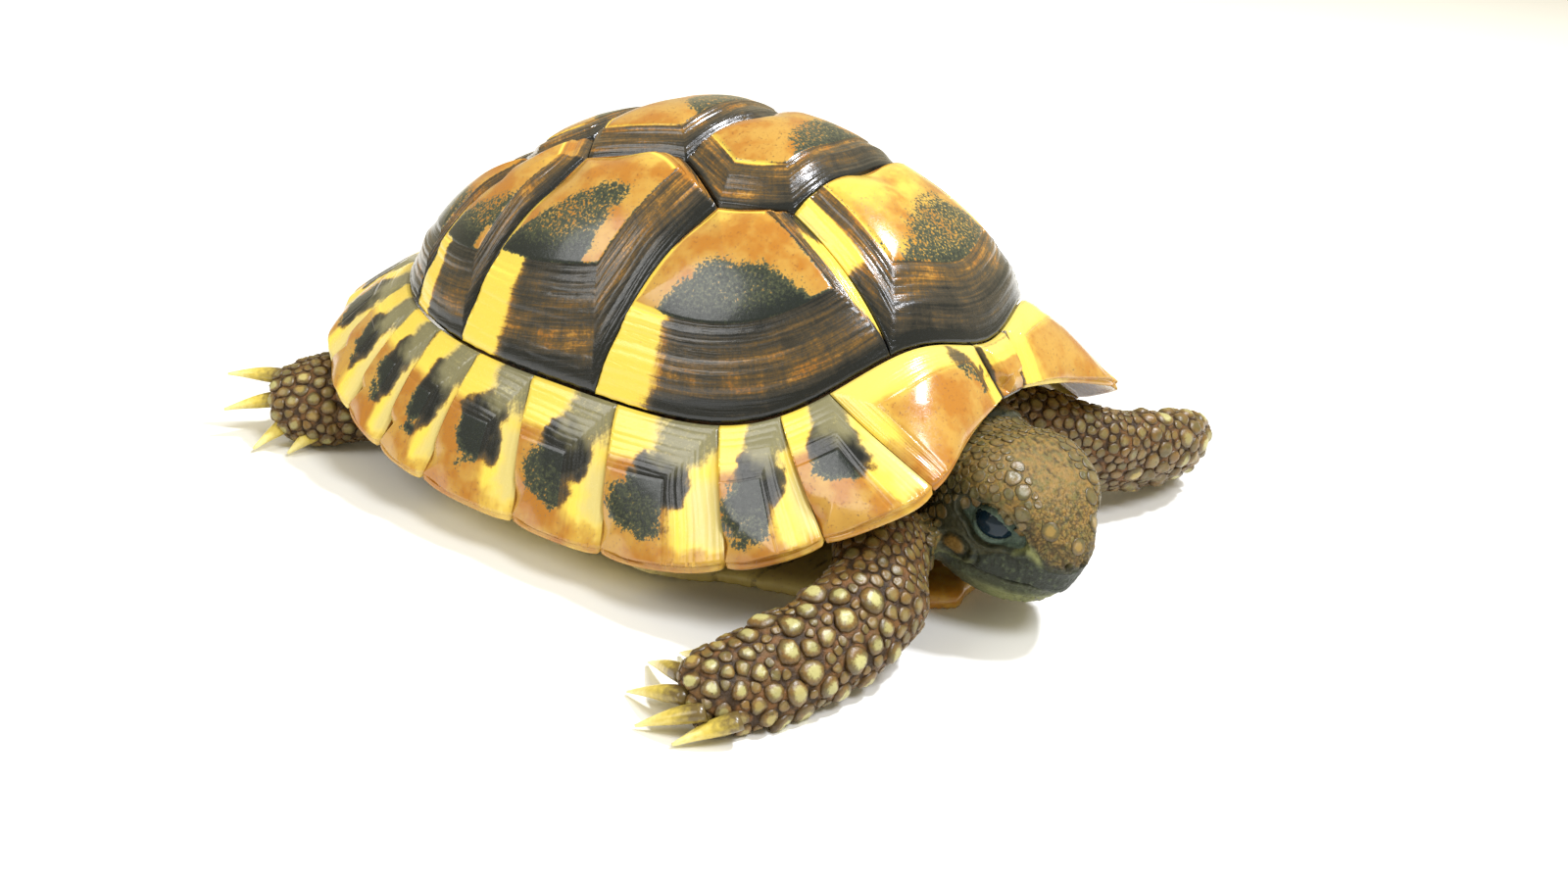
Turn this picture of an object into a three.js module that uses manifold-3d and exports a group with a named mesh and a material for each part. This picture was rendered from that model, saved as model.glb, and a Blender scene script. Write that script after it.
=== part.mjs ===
// A young Hermann's tortoise as a still, life-size model: it lies on its plastron with the head
// lowered and turned to its right, the forelegs folded outwards and the hind feet stretched back.
// Millimetres, +Z up. The head end faces -Y and the animal's left side is +X.
// The origin is the middle of the plastron's flat underside.

import * as THREE from 'three';
import { mergeVertices } from 'three/addons/utils/BufferGeometryUtils.js';
import Module from 'manifold-3d';

const wasm = await Module();
wasm.setup();

// ---------------------------------------------------------------- driving dimensions

const gap = 0.3; // clearance between two pieces that meet

// Two closed rings carry the carapace: the seam ring, where the marginals meet the pleurals,
// and the edge ring, which is the shell's free border. Lengths run from the ring's middle.
const middleY = 3.4;
const widening = 0.06; // share by which the shell is wider behind than in front
const seamRing = {
  half: 32.6,
  front: 39.6,
  rear: 38.6,
  squareFront: 3.3,
  squareRear: 2.7,
  sideZ: 21.6,
  frontZ: 35.8,
  rearZ: 25.2,
  riseFront: 5.8,
  riseRear: 2.1,
};
const edgeRing = {
  half: 40.1,
  front: 51.6,
  rear: 48.6,
  squareFront: 3.8,
  squareRear: 2.8,
  sideZ: 6.1,
  frontZ: 23.2,
  rearZ: 18.2,
  riseFront: 3.2,
  riseRear: 2.2,
};
const browDip = { forward: 3.3, down: 4.7, width: 19.5 }; // the first vertebral's bowed front edge
const neckNotch = { back: 4.5, up: 2.6, width: 23 }; // bay in the free border over the neck
const frontFlare = { out: 2.3, at: 27, width: 7.3 }; // first and second marginals flare outwards

// The dome over the seam ring is a superellipse of revolution, stretched onto that ring.
const dome = { apexY: -0.8, apexZ: 50.4, reach: 0.89, power: 1.87, root: 1.96 };

const scuteDepth = 2; // horn plate and bone under it
const scuteRelief = 1.85; // height of an areola over the seams
const scuteStep = 0.19; // longest facet along a scute's border, on the disc of radius 1
const marginalRelief = 0.9;
const marginalDepth = [2, 0.9]; // at the seam ring and at the free border
const marginalHeight = 18; // from the seam ring down to the free border

// Bearings of the seams on the two rings, in degrees from the front.
const nuchalBearing = [5.5, 3.2];
const marginalSeams = [
  [34.8, 26],
  [41.9, 38.7],
  [51.2, 49.7],
  [70.9, 68.1],
  [92.6, 86.3],
  [108, 107.3],
  [121, 118.5],
  [131, 128.5],
  [142, 139.5],
  [153, 151.5],
  [166, 164],
];
const pleuralBearings = [24.5, 76.5, 114, 132, 158]; // where the pleurals' seams reach the ring

// Corners of the vertebral and pleural scutes on the dome's disc: across and along, where the
// seam ring is the unit circle and -1 along is the front.
const vertebralCorners = [
  [0.333, -0.459],
  [0.394, -0.047],
  [0.285, 0.361],
  [0.268, 0.643],
];
const pleuralCorners = [
  [0.463, -0.284],
  [0.41, 0.31],
  [0.357, 0.533],
];
const vertebralPoles = [-0.68, -0.24, 0.15, 0.49, 0.8];
const pleuralPoles = [
  [0.6, -0.52],
  [0.69, 0.06],
  [0.6, 0.46],
  [0.46, 0.7],
];

// Plastron: half width along its length, from the gular tips to the anal tips.
const plastron = {
  thick: 3,
  flatHalf: 29,
  bridge: [-17, 20], // the bridge runs between these places along the body
  bridgeRise: 5.6, // height that the bridge's underside gains over bridgeRun
  bridgeRun: 9.5,
  bridgeInset: 1.5, // the bridge stays inside the free border
  bridgeSlope: 1.3, // its upper side stays further in
  edgeThinning: 0.35, // share by which the lobes thin out at their rims
  halfWidths: [
    [-45.8, 10.5],
    [-43.6, 13.4],
    [-38, 17.5],
    [-30, 22.5],
    [-22, 26],
    [-18, 28],
    [21, 28],
    [25, 26.5],
    [33, 24],
    [40, 19],
    [46, 11],
  ],
  analNotch: 4,
  gularNotch: 1.2,
  notchStart: 39, // the notches grow from here to the tips
};

// The trunk fills the shell, clear of the scutes' inner sides, down to a flat belly.
const trunk = { clear: 1.3, bellyHalf: 25, bellyFront: 31, bellyRear: 35, bellyZ: 3.7 };

// Head, measured along its own axis back from the snout: half width, height above the axis
// and depth below it.
const head = {
  snout: [-10.6, -60.2, 11.9],
  yaw: 22,
  pitch: 11,
  roll: 1,
  halfWidth: [
    [0, 1.6],
    [1, 3.3],
    [2.5, 4.5],
    [5, 5.9],
    [7.6, 7.6],
    [11, 9.5],
    [14.5, 10],
    [18, 9.3],
    [22, 7.4],
  ],
  above: [
    [0, 0.9],
    [1, 2.7],
    [2.5, 4],
    [5, 5.4],
    [7.6, 6.9],
    [11, 8],
    [14.5, 8.1],
    [18, 7.3],
    [22, 5.8],
  ],
  below: [
    [0, 2.2],
    [1, 4.8],
    [2.5, 7],
    [5, 8.8],
    [7.6, 9.8],
    [11, 10],
    [14.5, 9.2],
    [18, 7.9],
    [22, 6.2],
  ],
  squareness: 3,
  nape: { shrink: 0.7, reach: 1.8, pole: 2.6 }, // rounded back end
  eye: { side: 5.7, back: 8.9, up: 2, radius: 2.7 },
  // Side outline of the lower jaw: the mouth line from the beak to the corner, then below it.
  jaw: [
    [-1.8, -12],
    [-1.8, -6.9],
    [-3, -6.2],
    [-5.2, -6.1],
    [-7.8, -6.4],
    [-11, -7.2],
    [-14, -12],
  ],
};

// Soft limbs: each station gives a centre, the half width along the broad axis and the half
// thickness across it.
const neck = {
  broad: [1, 0.2, 0],
  stations: [
    { at: [0, -26, 16.4], wide: 9.4, thick: 8.6 },
    { at: [0.6, -33, 16.4], wide: 9.2, thick: 8.2 },
    { at: [0.2, -38, 16], wide: 8.8, thick: 7.8 },
    { at: [-1.4, -42.5, 15.6], wide: 8.2, thick: 7.2 },
  ],
};
const rightForeleg = {
  broad: [0.1, 0.75, 0.62],
  stations: [
    { at: [-13.5, -27, 14], wide: 7.2, thick: 5.2 },
    { at: [-18, -36, 12], wide: 7.4, thick: 5.4 },
    { at: [-24.5, -43, 8.6], wide: 7, thick: 5.2 },
    { at: [-34, -43.8, 6], wide: 6.4, thick: 4.4 },
    { at: [-43, -42, 4.6], wide: 6.1, thick: 3.9 },
    { at: [-50, -39.4, 3.9], wide: 5.6, thick: 3.4 },
    { at: [-53.4, -38, 3.4], wide: 4.6, thick: 2.7 },
  ],
  claws: [
    { tip: [-42.9, -28.2, 0.4], root: [-46, -35, 3.4] },
    { tip: [-47, -26.9, 0.4], root: [-50.8, -34.6, 3.8] },
    { tip: [-53.3, -29.1, 0.4], root: [-53.8, -37, 3.6] },
    { tip: [-57.9, -33.9, 0.4], root: [-54.6, -39.8, 3.2] },
    { tip: [-57.9, -38.9, 0.4], root: [-52.6, -42.9, 2.5] },
  ],
};
const leftForeleg = {
  broad: [0.1, -0.6, 0.8],
  stations: [
    { at: [14, -27, 14], wide: 7.5, thick: 5.5 },
    { at: [20, -36, 12], wide: 7.6, thick: 5.6 },
    { at: [27, -43.5, 9.4], wide: 7.4, thick: 5.2 },
    { at: [36, -47.5, 8], wide: 7, thick: 4.8 },
    { at: [44.5, -49.5, 6.8], wide: 6.6, thick: 4.4 },
    { at: [50, -47.5, 5.2], wide: 5.6, thick: 3.8 },
    { at: [52.5, -44.5, 3.8], wide: 4, thick: 2.6 },
  ],
  claws: [
    { tip: [59.4, -43.2, 0.4], root: [53, -46.4, 4] },
    { tip: [57.4, -38.8, 0.4], root: [52.6, -44, 3.2] },
    { tip: [53, -37, 0.4], root: [50.2, -43.6, 2.9] },
    { tip: [48.4, -37.6, 0.4], root: [47.4, -44.4, 2.8] },
    { tip: [43.8, -39.2, 0.4], root: [44.6, -45.4, 2.9] },
  ],
};
const rightHindLeg = {
  broad: [0.1, 0.9, 0.43],
  stations: [
    { at: [-15, 28, 13], wide: 8, thick: 7 },
    { at: [-23, 35, 9.6], wide: 7.8, thick: 6 },
    { at: [-29, 40.5, 6.6], wide: 7.2, thick: 4.8 },
    { at: [-33.6, 44.8, 5.4], wide: 7, thick: 4.6 },
    { at: [-36.2, 47, 5], wide: 5.8, thick: 3.8 },
  ],
  claws: [
    { tip: [-39, 55.6, 7.5], root: [-34.2, 50.6, 7.4] },
    { tip: [-42.2, 52.5, 4], root: [-35.6, 48.6, 5] },
    { tip: [-42.9, 45.6, 0.6], root: [-36.2, 45, 3.4] },
    { tip: [-40.4, 41.6, 0.5], root: [-34.8, 41.4, 2.6] },
  ],
};
const leftHindLeg = {
  broad: [0.8, -0.5, -0.1],
  stations: [
    { at: [15, 28, 13], wide: 8, thick: 7 },
    { at: [24, 34, 9.6], wide: 7.8, thick: 6 },
    { at: [31, 39.5, 6], wide: 7, thick: 4.6 },
    { at: [34.5, 44, 5], wide: 6.6, thick: 4.8 },
    { at: [36, 48, 4.4], wide: 5, thick: 3.8 },
  ],
  claws: [
    { tip: [33.4, 56, 0.6], root: [33, 48.6, 2.8] },
    { tip: [38.4, 56, 0.6], root: [35.6, 48.8, 2.8] },
    { tip: [42.8, 53, 0.6], root: [37.6, 47.4, 2.8] },
    { tip: [44.4, 48, 0.6], root: [38.6, 45, 2.8] },
  ],
};
const clawHalf = { fore: 1, hind: 1.1 }; // half a claw's width at its root
const clawHeight = 1.25; // a claw is this much taller than wide
const clawArch = 0.1; // rise of a claw's middle, as a share of its length
const limbBoxiness = 0.9; // 1 gives an oval limb, less a squarer one
const limbEnd = 0.6; // a limb's rounded end, as a share of its half thickness
const tail = {
  broad: [1, 0, 0],
  stations: [
    { at: [0, 36, 10.4], wide: 5, thick: 4.6 },
    { at: [0.6, 41, 8.6], wide: 4.2, thick: 3.8 },
    { at: [2.4, 45.6, 6.4], wide: 3.2, thick: 3 },
    { at: [5.4, 48, 4.4], wide: 2.4, thick: 2.2 },
    { at: [8.2, 48.6, 3], wide: 1.6, thick: 1.5 },
  ],
  spur: { tip: [13, 48.8, 1.8], root: [8, 48.3, 3], half: 0.9 },
};

// ---------------------------------------------------------------- materials

function finish(color, roughness) {
  return new THREE.MeshStandardMaterial({ color, roughness, metalness: 0 });
}

const scuteHorn = finish('#c98a2e', 0.45);
const marginalHorn = finish('#e0a63c', 0.45);
const plastronHorn = finish('#e2cb86', 0.55);
const skin = finish('#5f4c38', 0.8);
const crownSkin = finish('#6f5c45', 0.7);
const beakHorn = finish('#4c4636', 0.6);
const clawHorn = finish('#cdb43c', 0.4);
const eyeGloss = finish('#10141a', 0.08);

// ---------------------------------------------------------------- small tools

const { degToRad, radToDeg, lerp } = THREE.MathUtils;
const vector = (list) => new THREE.Vector3(...list);
const bell = (angle, centre, width) => Math.exp(-(((angle - centre) / width) ** 2));
const signedPower = (value, power) => Math.sign(value) * Math.abs(value) ** power;

// A smooth curve through [place, value] stations, flat beyond its ends.
function profile(stations) {
  const slope = (i) => {
    const before = stations[Math.max(i - 1, 0)];
    const after = stations[Math.min(i + 1, stations.length - 1)];
    return (after[1] - before[1]) / (after[0] - before[0]);
  };
  return (place) => {
    const last = stations.length - 1;
    if (place <= stations[0][0]) return stations[0][1];
    if (place >= stations[last][0]) return stations[last][1];
    const i = stations.findIndex((station) => station[0] > place) - 1;
    const span = stations[i + 1][0] - stations[i][0];
    const t = (place - stations[i][0]) / span;
    const bend = t * (1 - t) * span;
    const straight = lerp(stations[i][1], stations[i + 1][1], t * t * (3 - 2 * t));
    return straight + bend * ((1 - t) * slope(i) - t * slope(i + 1));
  };
}

function meshGeometry(points, faces) {
  const geometry = new THREE.BufferGeometry();
  geometry.setFromPoints(points);
  let volume = 0;
  for (const [a, b, c] of faces) {
    volume += points[a].dot(points[b].clone().cross(points[c]));
  }
  const outward = volume > 0 ? faces : faces.map(([a, b, c]) => [a, c, b]);
  geometry.setIndex(outward.flat());
  return geometry;
}

// A closed body through rings of equally many points, each end drawn to a pole.
function loft(rings, startPole, endPole) {
  const count = rings[0].length;
  const points = [startPole, ...rings.flat(), endPole];
  const at = (ring, i) => 1 + ring * count + (i % count);
  const faces = [];
  for (let i = 0; i < count; i += 1) {
    faces.push([0, at(0, i + 1), at(0, i)]);
    faces.push([points.length - 1, at(rings.length - 1, i), at(rings.length - 1, i + 1)]);
    for (let ring = 0; ring < rings.length - 1; ring += 1) {
      faces.push([at(ring, i), at(ring, i + 1), at(ring + 1, i + 1)]);
      faces.push([at(ring, i), at(ring + 1, i + 1), at(ring + 1, i)]);
    }
  }
  return meshGeometry(points, faces);
}

// A closed plate between an outer and an inner grid of the same size.
function plate(outer, inner) {
  const rows = outer.length;
  const columns = outer[0].length;
  const points = [...outer.flat(), ...inner.flat()];
  const top = (r, c) => r * columns + c;
  const under = (r, c) => rows * columns + top(r, c);
  const faces = [];
  const quad = (a, b, c, d) => faces.push([a, b, c], [a, c, d]);
  for (let r = 0; r < rows - 1; r += 1) {
    for (let c = 0; c < columns - 1; c += 1) {
      quad(top(r, c), top(r, c + 1), top(r + 1, c + 1), top(r + 1, c));
      quad(under(r, c), under(r + 1, c), under(r + 1, c + 1), under(r, c + 1));
    }
    quad(top(r, 0), top(r + 1, 0), under(r + 1, 0), under(r, 0));
    quad(top(r + 1, columns - 1), top(r, columns - 1), under(r, columns - 1), under(r + 1, columns - 1));
  }
  for (let c = 0; c < columns - 1; c += 1) {
    quad(top(0, c + 1), top(0, c), under(0, c), under(0, c + 1));
    quad(top(rows - 1, c), top(rows - 1, c + 1), under(rows - 1, c + 1), under(rows - 1, c));
  }
  return meshGeometry(points, faces);
}

function toSolid(geometry) {
  const bare = geometry.clone();
  bare.deleteAttribute('normal');
  bare.deleteAttribute('uv');
  const merged = mergeVertices(bare, 1e-4);
  const vertProperties = new Float32Array(merged.attributes.position.array);
  const triVerts = new Uint32Array(merged.index.array);
  return new wasm.Manifold(new wasm.Mesh({ numProp: 3, vertProperties, triVerts }));
}

function toGeometry(solid) {
  const mesh = solid.getMesh();
  const geometry = new THREE.BufferGeometry();
  geometry.setAttribute('position', new THREE.BufferAttribute(new Float32Array(mesh.vertProperties), 3));
  geometry.setIndex(new THREE.BufferAttribute(new Uint32Array(mesh.triVerts), 1));
  return geometry;
}

// Moves every side of a closed outline inwards by a distance, or outwards where it is negative.
function insetOutline(outline, distance) {
  const count = outline.length;
  let area = 0;
  for (let i = 0; i < count; i += 1) {
    const [a, b] = [outline[i], outline[(i + 1) % count]];
    area += a[0] * b[1] - b[0] * a[1];
  }
  const inward = Math.sign(area) * distance;
  return outline.map((corner, i) => {
    const before = outline[(i + count - 1) % count];
    const after = outline[(i + 1) % count];
    const first = new THREE.Vector2(corner[0] - before[0], corner[1] - before[1]).normalize();
    const second = new THREE.Vector2(after[0] - corner[0], after[1] - corner[1]).normalize();
    const mitre = 1 + first.dot(second);
    const x = corner[0] - (inward * (first.y + second.y)) / mitre;
    const y = corner[1] + (inward * (first.x + second.x)) / mitre;
    return [x, y];
  });
}

// ---------------------------------------------------------------- the carapace's surface

// A point of one of the two rings, at a bearing in degrees from the front, towards the left.
function ringPoint(ring, bearing) {
  const across = Math.sin(degToRad(bearing));
  const along = -Math.cos(degToRad(bearing));
  const length = along < 0 ? ring.front : ring.rear;
  const square = along < 0 ? ring.squareFront : ring.squareRear;
  const share = Math.abs(across / ring.half) ** square + Math.abs(along / length) ** square;
  const radius = share ** (-1 / square);
  const y = radius * along;
  const rise = along < 0 ? ring.riseFront : ring.riseRear;
  const endZ = along < 0 ? ring.frontZ : ring.rearZ;
  const z = ring.sideZ + (endZ - ring.sideZ) * Math.abs(y / length) ** rise;
  return new THREE.Vector3(radius * across * (1 + (widening * (y + middleY)) / ring.front), y + middleY, z);
}

function wrapped(bearing) {
  return bearing > 180 ? bearing - 360 : bearing;
}

function seamPoint(bearing) {
  const point = ringPoint(seamRing, bearing);
  const dip = bell(wrapped(bearing), 0, browDip.width);
  point.y -= browDip.forward * dip;
  point.z -= browDip.down * dip;
  return point;
}

function edgePoint(bearing) {
  const point = ringPoint(edgeRing, bearing);
  const turned = wrapped(bearing);
  const notch = bell(turned, 0, neckNotch.width);
  const flare = frontFlare.out * bell(Math.abs(turned), frontFlare.at, frontFlare.width);
  const radius = Math.hypot(point.x, point.y);
  point.x += (point.x / radius) * flare;
  point.y += (point.y / radius) * flare + neckNotch.back * notch;
  point.z += neckNotch.up * notch;
  return point;
}

const domeFall = (radius) => (1 - Math.min(dome.reach * radius, 1) ** dome.power) ** (1 / dome.root);

function domeSkin(across, along) {
  const radius = Math.hypot(across, along);
  const ring = seamPoint(radToDeg(Math.atan2(across, -along)));
  const height = (domeFall(radius) - domeFall(1)) / (1 - domeFall(1));
  return new THREE.Vector3(
    ring.x * radius,
    dome.apexY * (1 - radius) + ring.y * radius,
    ring.z + (dome.apexZ - ring.z) * height,
  );
}

const bandSkin = (bearing, t) => seamPoint(bearing).lerp(edgePoint(bearing), t);

// A surface's point raised along its outward normal.
function raised(surface, a, b, stepA, stepB, height) {
  const alongA = surface(a + stepA, b).sub(surface(a - stepA, b));
  const alongB = surface(a, b + stepB).sub(surface(a, b - stepB));
  const normal = alongA.cross(alongB).normalize();
  const point = surface(a, b);
  const outward = normal.dot(new THREE.Vector3(point.x, point.y, 12)) < 0 ? -1 : 1;
  return point.addScaledVector(normal, outward * height);
}

const domePoint = ([across, along], height) => raised(domeSkin, across, along, 0.004, 0.004, height);
const bandPoint = (bearing, t, height) => raised(bandSkin, bearing, t, 0.3, 0.01, height);

// ---------------------------------------------------------------- vertebral and pleural scutes

// Points of the unit circle between two bearings, about one to every seven degrees.
function ringArc(from, to) {
  const steps = Math.max(2, Math.round(Math.abs(to - from) / 7));
  return Array.from({ length: steps + 1 }, (_, i) => {
    const bearing = degToRad(lerp(from, to, i / steps));
    return [Math.sin(bearing), -Math.cos(bearing)];
  });
}

// Adds points so that no side of an outline is longer than a step.
function subdivided(outline, step) {
  return outline.flatMap((corner, i) => {
    const next = outline[(i + 1) % outline.length];
    const pieces = Math.ceil(Math.hypot(next[0] - corner[0], next[1] - corner[1]) / step);
    return Array.from({ length: pieces }, (_, k) => [
      lerp(corner[0], next[0], k / pieces),
      lerp(corner[1], next[1], k / pieces),
    ]);
  });
}

// A scute rises from its seams to its areola and is closed underneath.
function scute(outline, pole) {
  const discGap = gap / 2 / seamRing.half;
  const border = subdivided(insetOutline(outline, discGap), scuteStep);
  const relief = (share) => scuteRelief * (1 - share ** 2.5);
  const ringAt = (share, height) =>
    border.map(([x, y]) => domePoint([lerp(pole[0], x, share), lerp(pole[1], y, share)], height));
  const outside = [0.45, 0.75, 0.92, 1].map((share) => ringAt(share, relief(share)));
  const inside = [1, 0.5].map((share) => ringAt(share, -scuteDepth));
  return loft([...outside, ...inside], domePoint(pole, scuteRelief), domePoint(pole, -scuteDepth));
}

const mirrored = (points) => points.map(([x, y]) => [-x, y]);

function vertebralOutline(index) {
  const [front, hind] = [vertebralCorners[index - 1], vertebralCorners[index]];
  const sides = [null, pleuralCorners[0], pleuralCorners[1], pleuralCorners[2]][index];
  if (index === 0) {
    const brow = ringArc(-pleuralBearings[0], pleuralBearings[0]);
    return [...brow, hind, ...mirrored([hind])];
  }
  if (index === 4) {
    const rump = ringArc(pleuralBearings[4], 360 - pleuralBearings[4]);
    return [front, ...rump, ...mirrored([front])];
  }
  const half = [front, sides, hind];
  return [...half, ...mirrored(half).reverse()];
}

function pleuralOutline(index) {
  const shared = [
    [vertebralCorners[0], pleuralCorners[0]],
    [pleuralCorners[0], vertebralCorners[1], pleuralCorners[1]],
    [pleuralCorners[1], vertebralCorners[2], pleuralCorners[2]],
    [pleuralCorners[2], vertebralCorners[3]],
  ][index];
  return [...shared, ...ringArc(pleuralBearings[index + 1], pleuralBearings[index])];
}

// ---------------------------------------------------------------- marginal ring

// A flat-topped swelling that is 0 at both ends of 0 to 1.
const swell = (place) => 1 - Math.abs(2 * place - 1) ** 6;

// A stretch of the marginal ring between seams, each given by its bearings on the two rings.
function marginals(seams, grow = 0) {
  const shares = [0, 0.3, 0.6, 0.88, 1];
  const cells = 3;
  const columns = [];
  for (let i = 0; i < seams.length - 1; i += 1) {
    for (let k = i === 0 ? 0 : 1; k <= cells; k += 1) {
      const place = k / cells;
      const bearings = [0, 1].map((ring) => lerp(seams[i][ring], seams[i + 1][ring], place));
      columns.push({ bearings, crown: swell(place) });
    }
  }
  const startShare = gap / 2 / marginalHeight;
  const surface = (inside) =>
    columns.map(({ bearings, crown }) =>
      shares.map((share) => {
        const t = lerp(startShare, 1 + grow / marginalHeight, share);
        const bearing = lerp(bearings[0], bearings[1], t);
        const relief = marginalRelief * crown * swell(share);
        const depth = lerp(marginalDepth[0], marginalDepth[1], share);
        return bandPoint(bearing, t, inside ? -depth - grow : relief + grow);
      }),
    );
  return plate(surface(false), surface(true));
}

// Bearings that hold half a gap back from a seam, on the side that the sign gives.
const clearOf = ([top, edge], sign) => [
  top + (sign * radToDeg(gap / 2)) / seamRing.front,
  edge + (sign * radToDeg(gap / 2)) / edgeRing.front,
];

function rim(side, grow = 0) {
  const seams = [clearOf(nuchalBearing, 1), ...marginalSeams.slice(0, -1), clearOf(marginalSeams[10], -1)];
  return marginals(seams.map((pair) => pair.map((bearing) => side * bearing)), grow);
}

function nuchal() {
  const [top, edge] = clearOf(nuchalBearing, -1);
  return marginals([
    [-top, -edge],
    [top, edge],
  ]);
}

function supracaudal() {
  const [top, edge] = clearOf(marginalSeams[10], 1);
  return marginals([
    [top, edge],
    [180, 180],
    [360 - top, 360 - edge],
  ]);
}

// ---------------------------------------------------------------- plastron and trunk

const smoothStep = THREE.MathUtils.smoothstep;

// Half width of the free border's inner side at a place along the body.
function borderHalf(y) {
  const bearing = radToDeg(Math.atan2(edgeRing.half, -(y - middleY)));
  return edgePoint(bearing).x;
}

function plastronSolid() {
  const lobeHalf = profile(plastron.halfWidths);
  const [bridgeFront, bridgeRear] = plastron.bridge;
  const places = [-45.8, -44.4, -40, -30, -22, -19, -16, -13, 0, 14, 17, 20, 23, 31, 39, 43, 46];
  const shares = [-1, -0.82, -0.6, -0.3, 0, 0.3, 0.6, 0.82, 1];
  const surface = (top) =>
    places.map((y) => {
      const behindFront = smoothStep(y, bridgeFront - 3, bridgeFront + 3);
      const onBridge = behindFront * (1 - smoothStep(y, bridgeRear - 3, bridgeRear + 3));
      const reach = borderHalf(y) - plastron.bridgeInset - (top ? plastron.bridgeSlope : 0);
      const half = lerp(lobeHalf(y), reach, onBridge);
      return shares.map((share) => {
        const x = half * share;
        const outside = Math.max(0, Math.abs(x) - plastron.flatHalf);
        const rise = plastron.bridgeRise * (outside / plastron.bridgeRun) ** 1.5;
        const notch = (y > 0 ? plastron.analNotch : -plastron.gularNotch) * (1 - Math.abs(share)) ** 2;
        const towardsTip = smoothStep(Math.abs(y), plastron.notchStart, 46);
        const edgeThin = 1 - plastron.edgeThinning * Math.abs(share) ** 4 * (1 - onBridge);
        const z = top ? rise + plastron.thick * edgeThin : rise;
        return new THREE.Vector3(x, y - notch * towardsTip, z);
      });
    });
  return plate(surface(true), surface(false));
}

// The body inside the shell, grown by a clearance where it serves as a cutter.
function trunkSolid(grow) {
  const count = 28;
  const depth = scuteDepth + trunk.clear - grow;
  const bearings = Array.from({ length: count }, (_, i) => (360 * i) / count);
  const onDome = [0.3, 0.55, 0.76, 0.9].map((radius) =>
    bearings.map((bearing) => {
      const turn = degToRad(bearing);
      return domePoint([radius * Math.sin(turn), -radius * Math.cos(turn)], -depth);
    }),
  );
  const walls = [0.35, 0.7, 1].map((share) =>
    bearings.map((bearing, i) => {
      const turn = degToRad(bearing);
      const start = onDome[3][i];
      const along = -Math.cos(turn);
      const length = (along < 0 ? trunk.bellyFront : trunk.bellyRear) + grow;
      const half = trunk.bellyHalf + grow;
      const belly = new THREE.Vector3(half * Math.sin(turn), length * along, trunk.bellyZ - grow);
      return start.clone().lerp(belly, share);
    }),
  );
  return loft([...onDome, ...walls], domePoint([0, 0], -depth), new THREE.Vector3(0, 0, trunk.bellyZ - grow));
}

// ---------------------------------------------------------------- soft limbs

// A limb through its stations, with rounded ends, grown by a clearance for cutting.
function limb({ broad, stations }, grow = 0, sides = 12, steps = 8) {
  const path = new THREE.CatmullRomCurve3(stations.map((station) => vector(station.at)), false, 'centripetal');
  const places = stations.map((_, i) => i / (stations.length - 1));
  const wide = profile(stations.map((station, i) => [places[i], station.wide]));
  const thick = profile(stations.map((station, i) => [places[i], station.thick]));
  const ringAt = (place, shrink, shift) => {
    const centre = path.getPoint(place);
    const forward = path.getTangent(place);
    const across = vector(broad).addScaledVector(forward, -forward.dot(vector(broad))).normalize();
    const up = forward.clone().cross(across);
    centre.addScaledVector(forward, shift);
    return Array.from({ length: sides }, (_, i) => {
      const turn = (2 * Math.PI * i) / sides;
      const sideways = (wide(place) * shrink + grow) * signedPower(Math.cos(turn), limbBoxiness);
      const upwards = (thick(place) * shrink + grow) * signedPower(Math.sin(turn), limbBoxiness);
      return centre.clone().addScaledVector(across, sideways).addScaledVector(up, upwards);
    });
  };
  const rings = Array.from({ length: steps + 1 }, (_, i) => ringAt(i / steps, 1, 0));
  const endReach = limbEnd * thick(1);
  rings.push(ringAt(1, 0.75, endReach * 0.75));
  const endPole = path.getPoint(1).addScaledVector(path.getTangent(1), endReach + grow);
  return loft(rings, path.getPoint(0), endPole);
}

// A curved, pointed claw from its root to its tip, arched upwards.
function claw({ tip, root }, half, grow = 0) {
  const start = vector(root);
  const end = vector(tip);
  const rise = new THREE.Vector3(0, 0, clawArch * start.distanceTo(end));
  const arch = start.clone().lerp(end, 0.5).add(rise);
  const path = new THREE.QuadraticBezierCurve3(start, arch, end);
  const sides = 6;
  const rings = [0, 0.5, 0.85].map((place) => {
    const centre = path.getPoint(place);
    const forward = path.getTangent(place);
    const across = new THREE.Vector3(0, 0, 1).cross(forward).normalize();
    const up = forward.clone().cross(across);
    const size = half * (1 - place ** 1.4) ** 0.8 + 0.12 + grow;
    return Array.from({ length: sides }, (_, i) => {
      const turn = (2 * Math.PI * i) / sides;
      return centre
        .clone()
        .addScaledVector(across, size * Math.cos(turn))
        .addScaledVector(up, clawHeight * size * Math.sin(turn));
    });
  });
  const back = start.clone().addScaledVector(path.getTangent(0), -grow);
  const front = end.clone().addScaledVector(path.getTangent(1), grow);
  return loft(rings, back, front);
}

// ---------------------------------------------------------------- head

const headPlace = new THREE.Matrix4()
  .makeTranslation(...head.snout)
  .multiply(new THREE.Matrix4().makeRotationZ(degToRad(-head.yaw)))
  .multiply(new THREE.Matrix4().makeRotationX(degToRad(head.pitch)))
  .multiply(new THREE.Matrix4().makeRotationY(degToRad(head.roll)));

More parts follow.
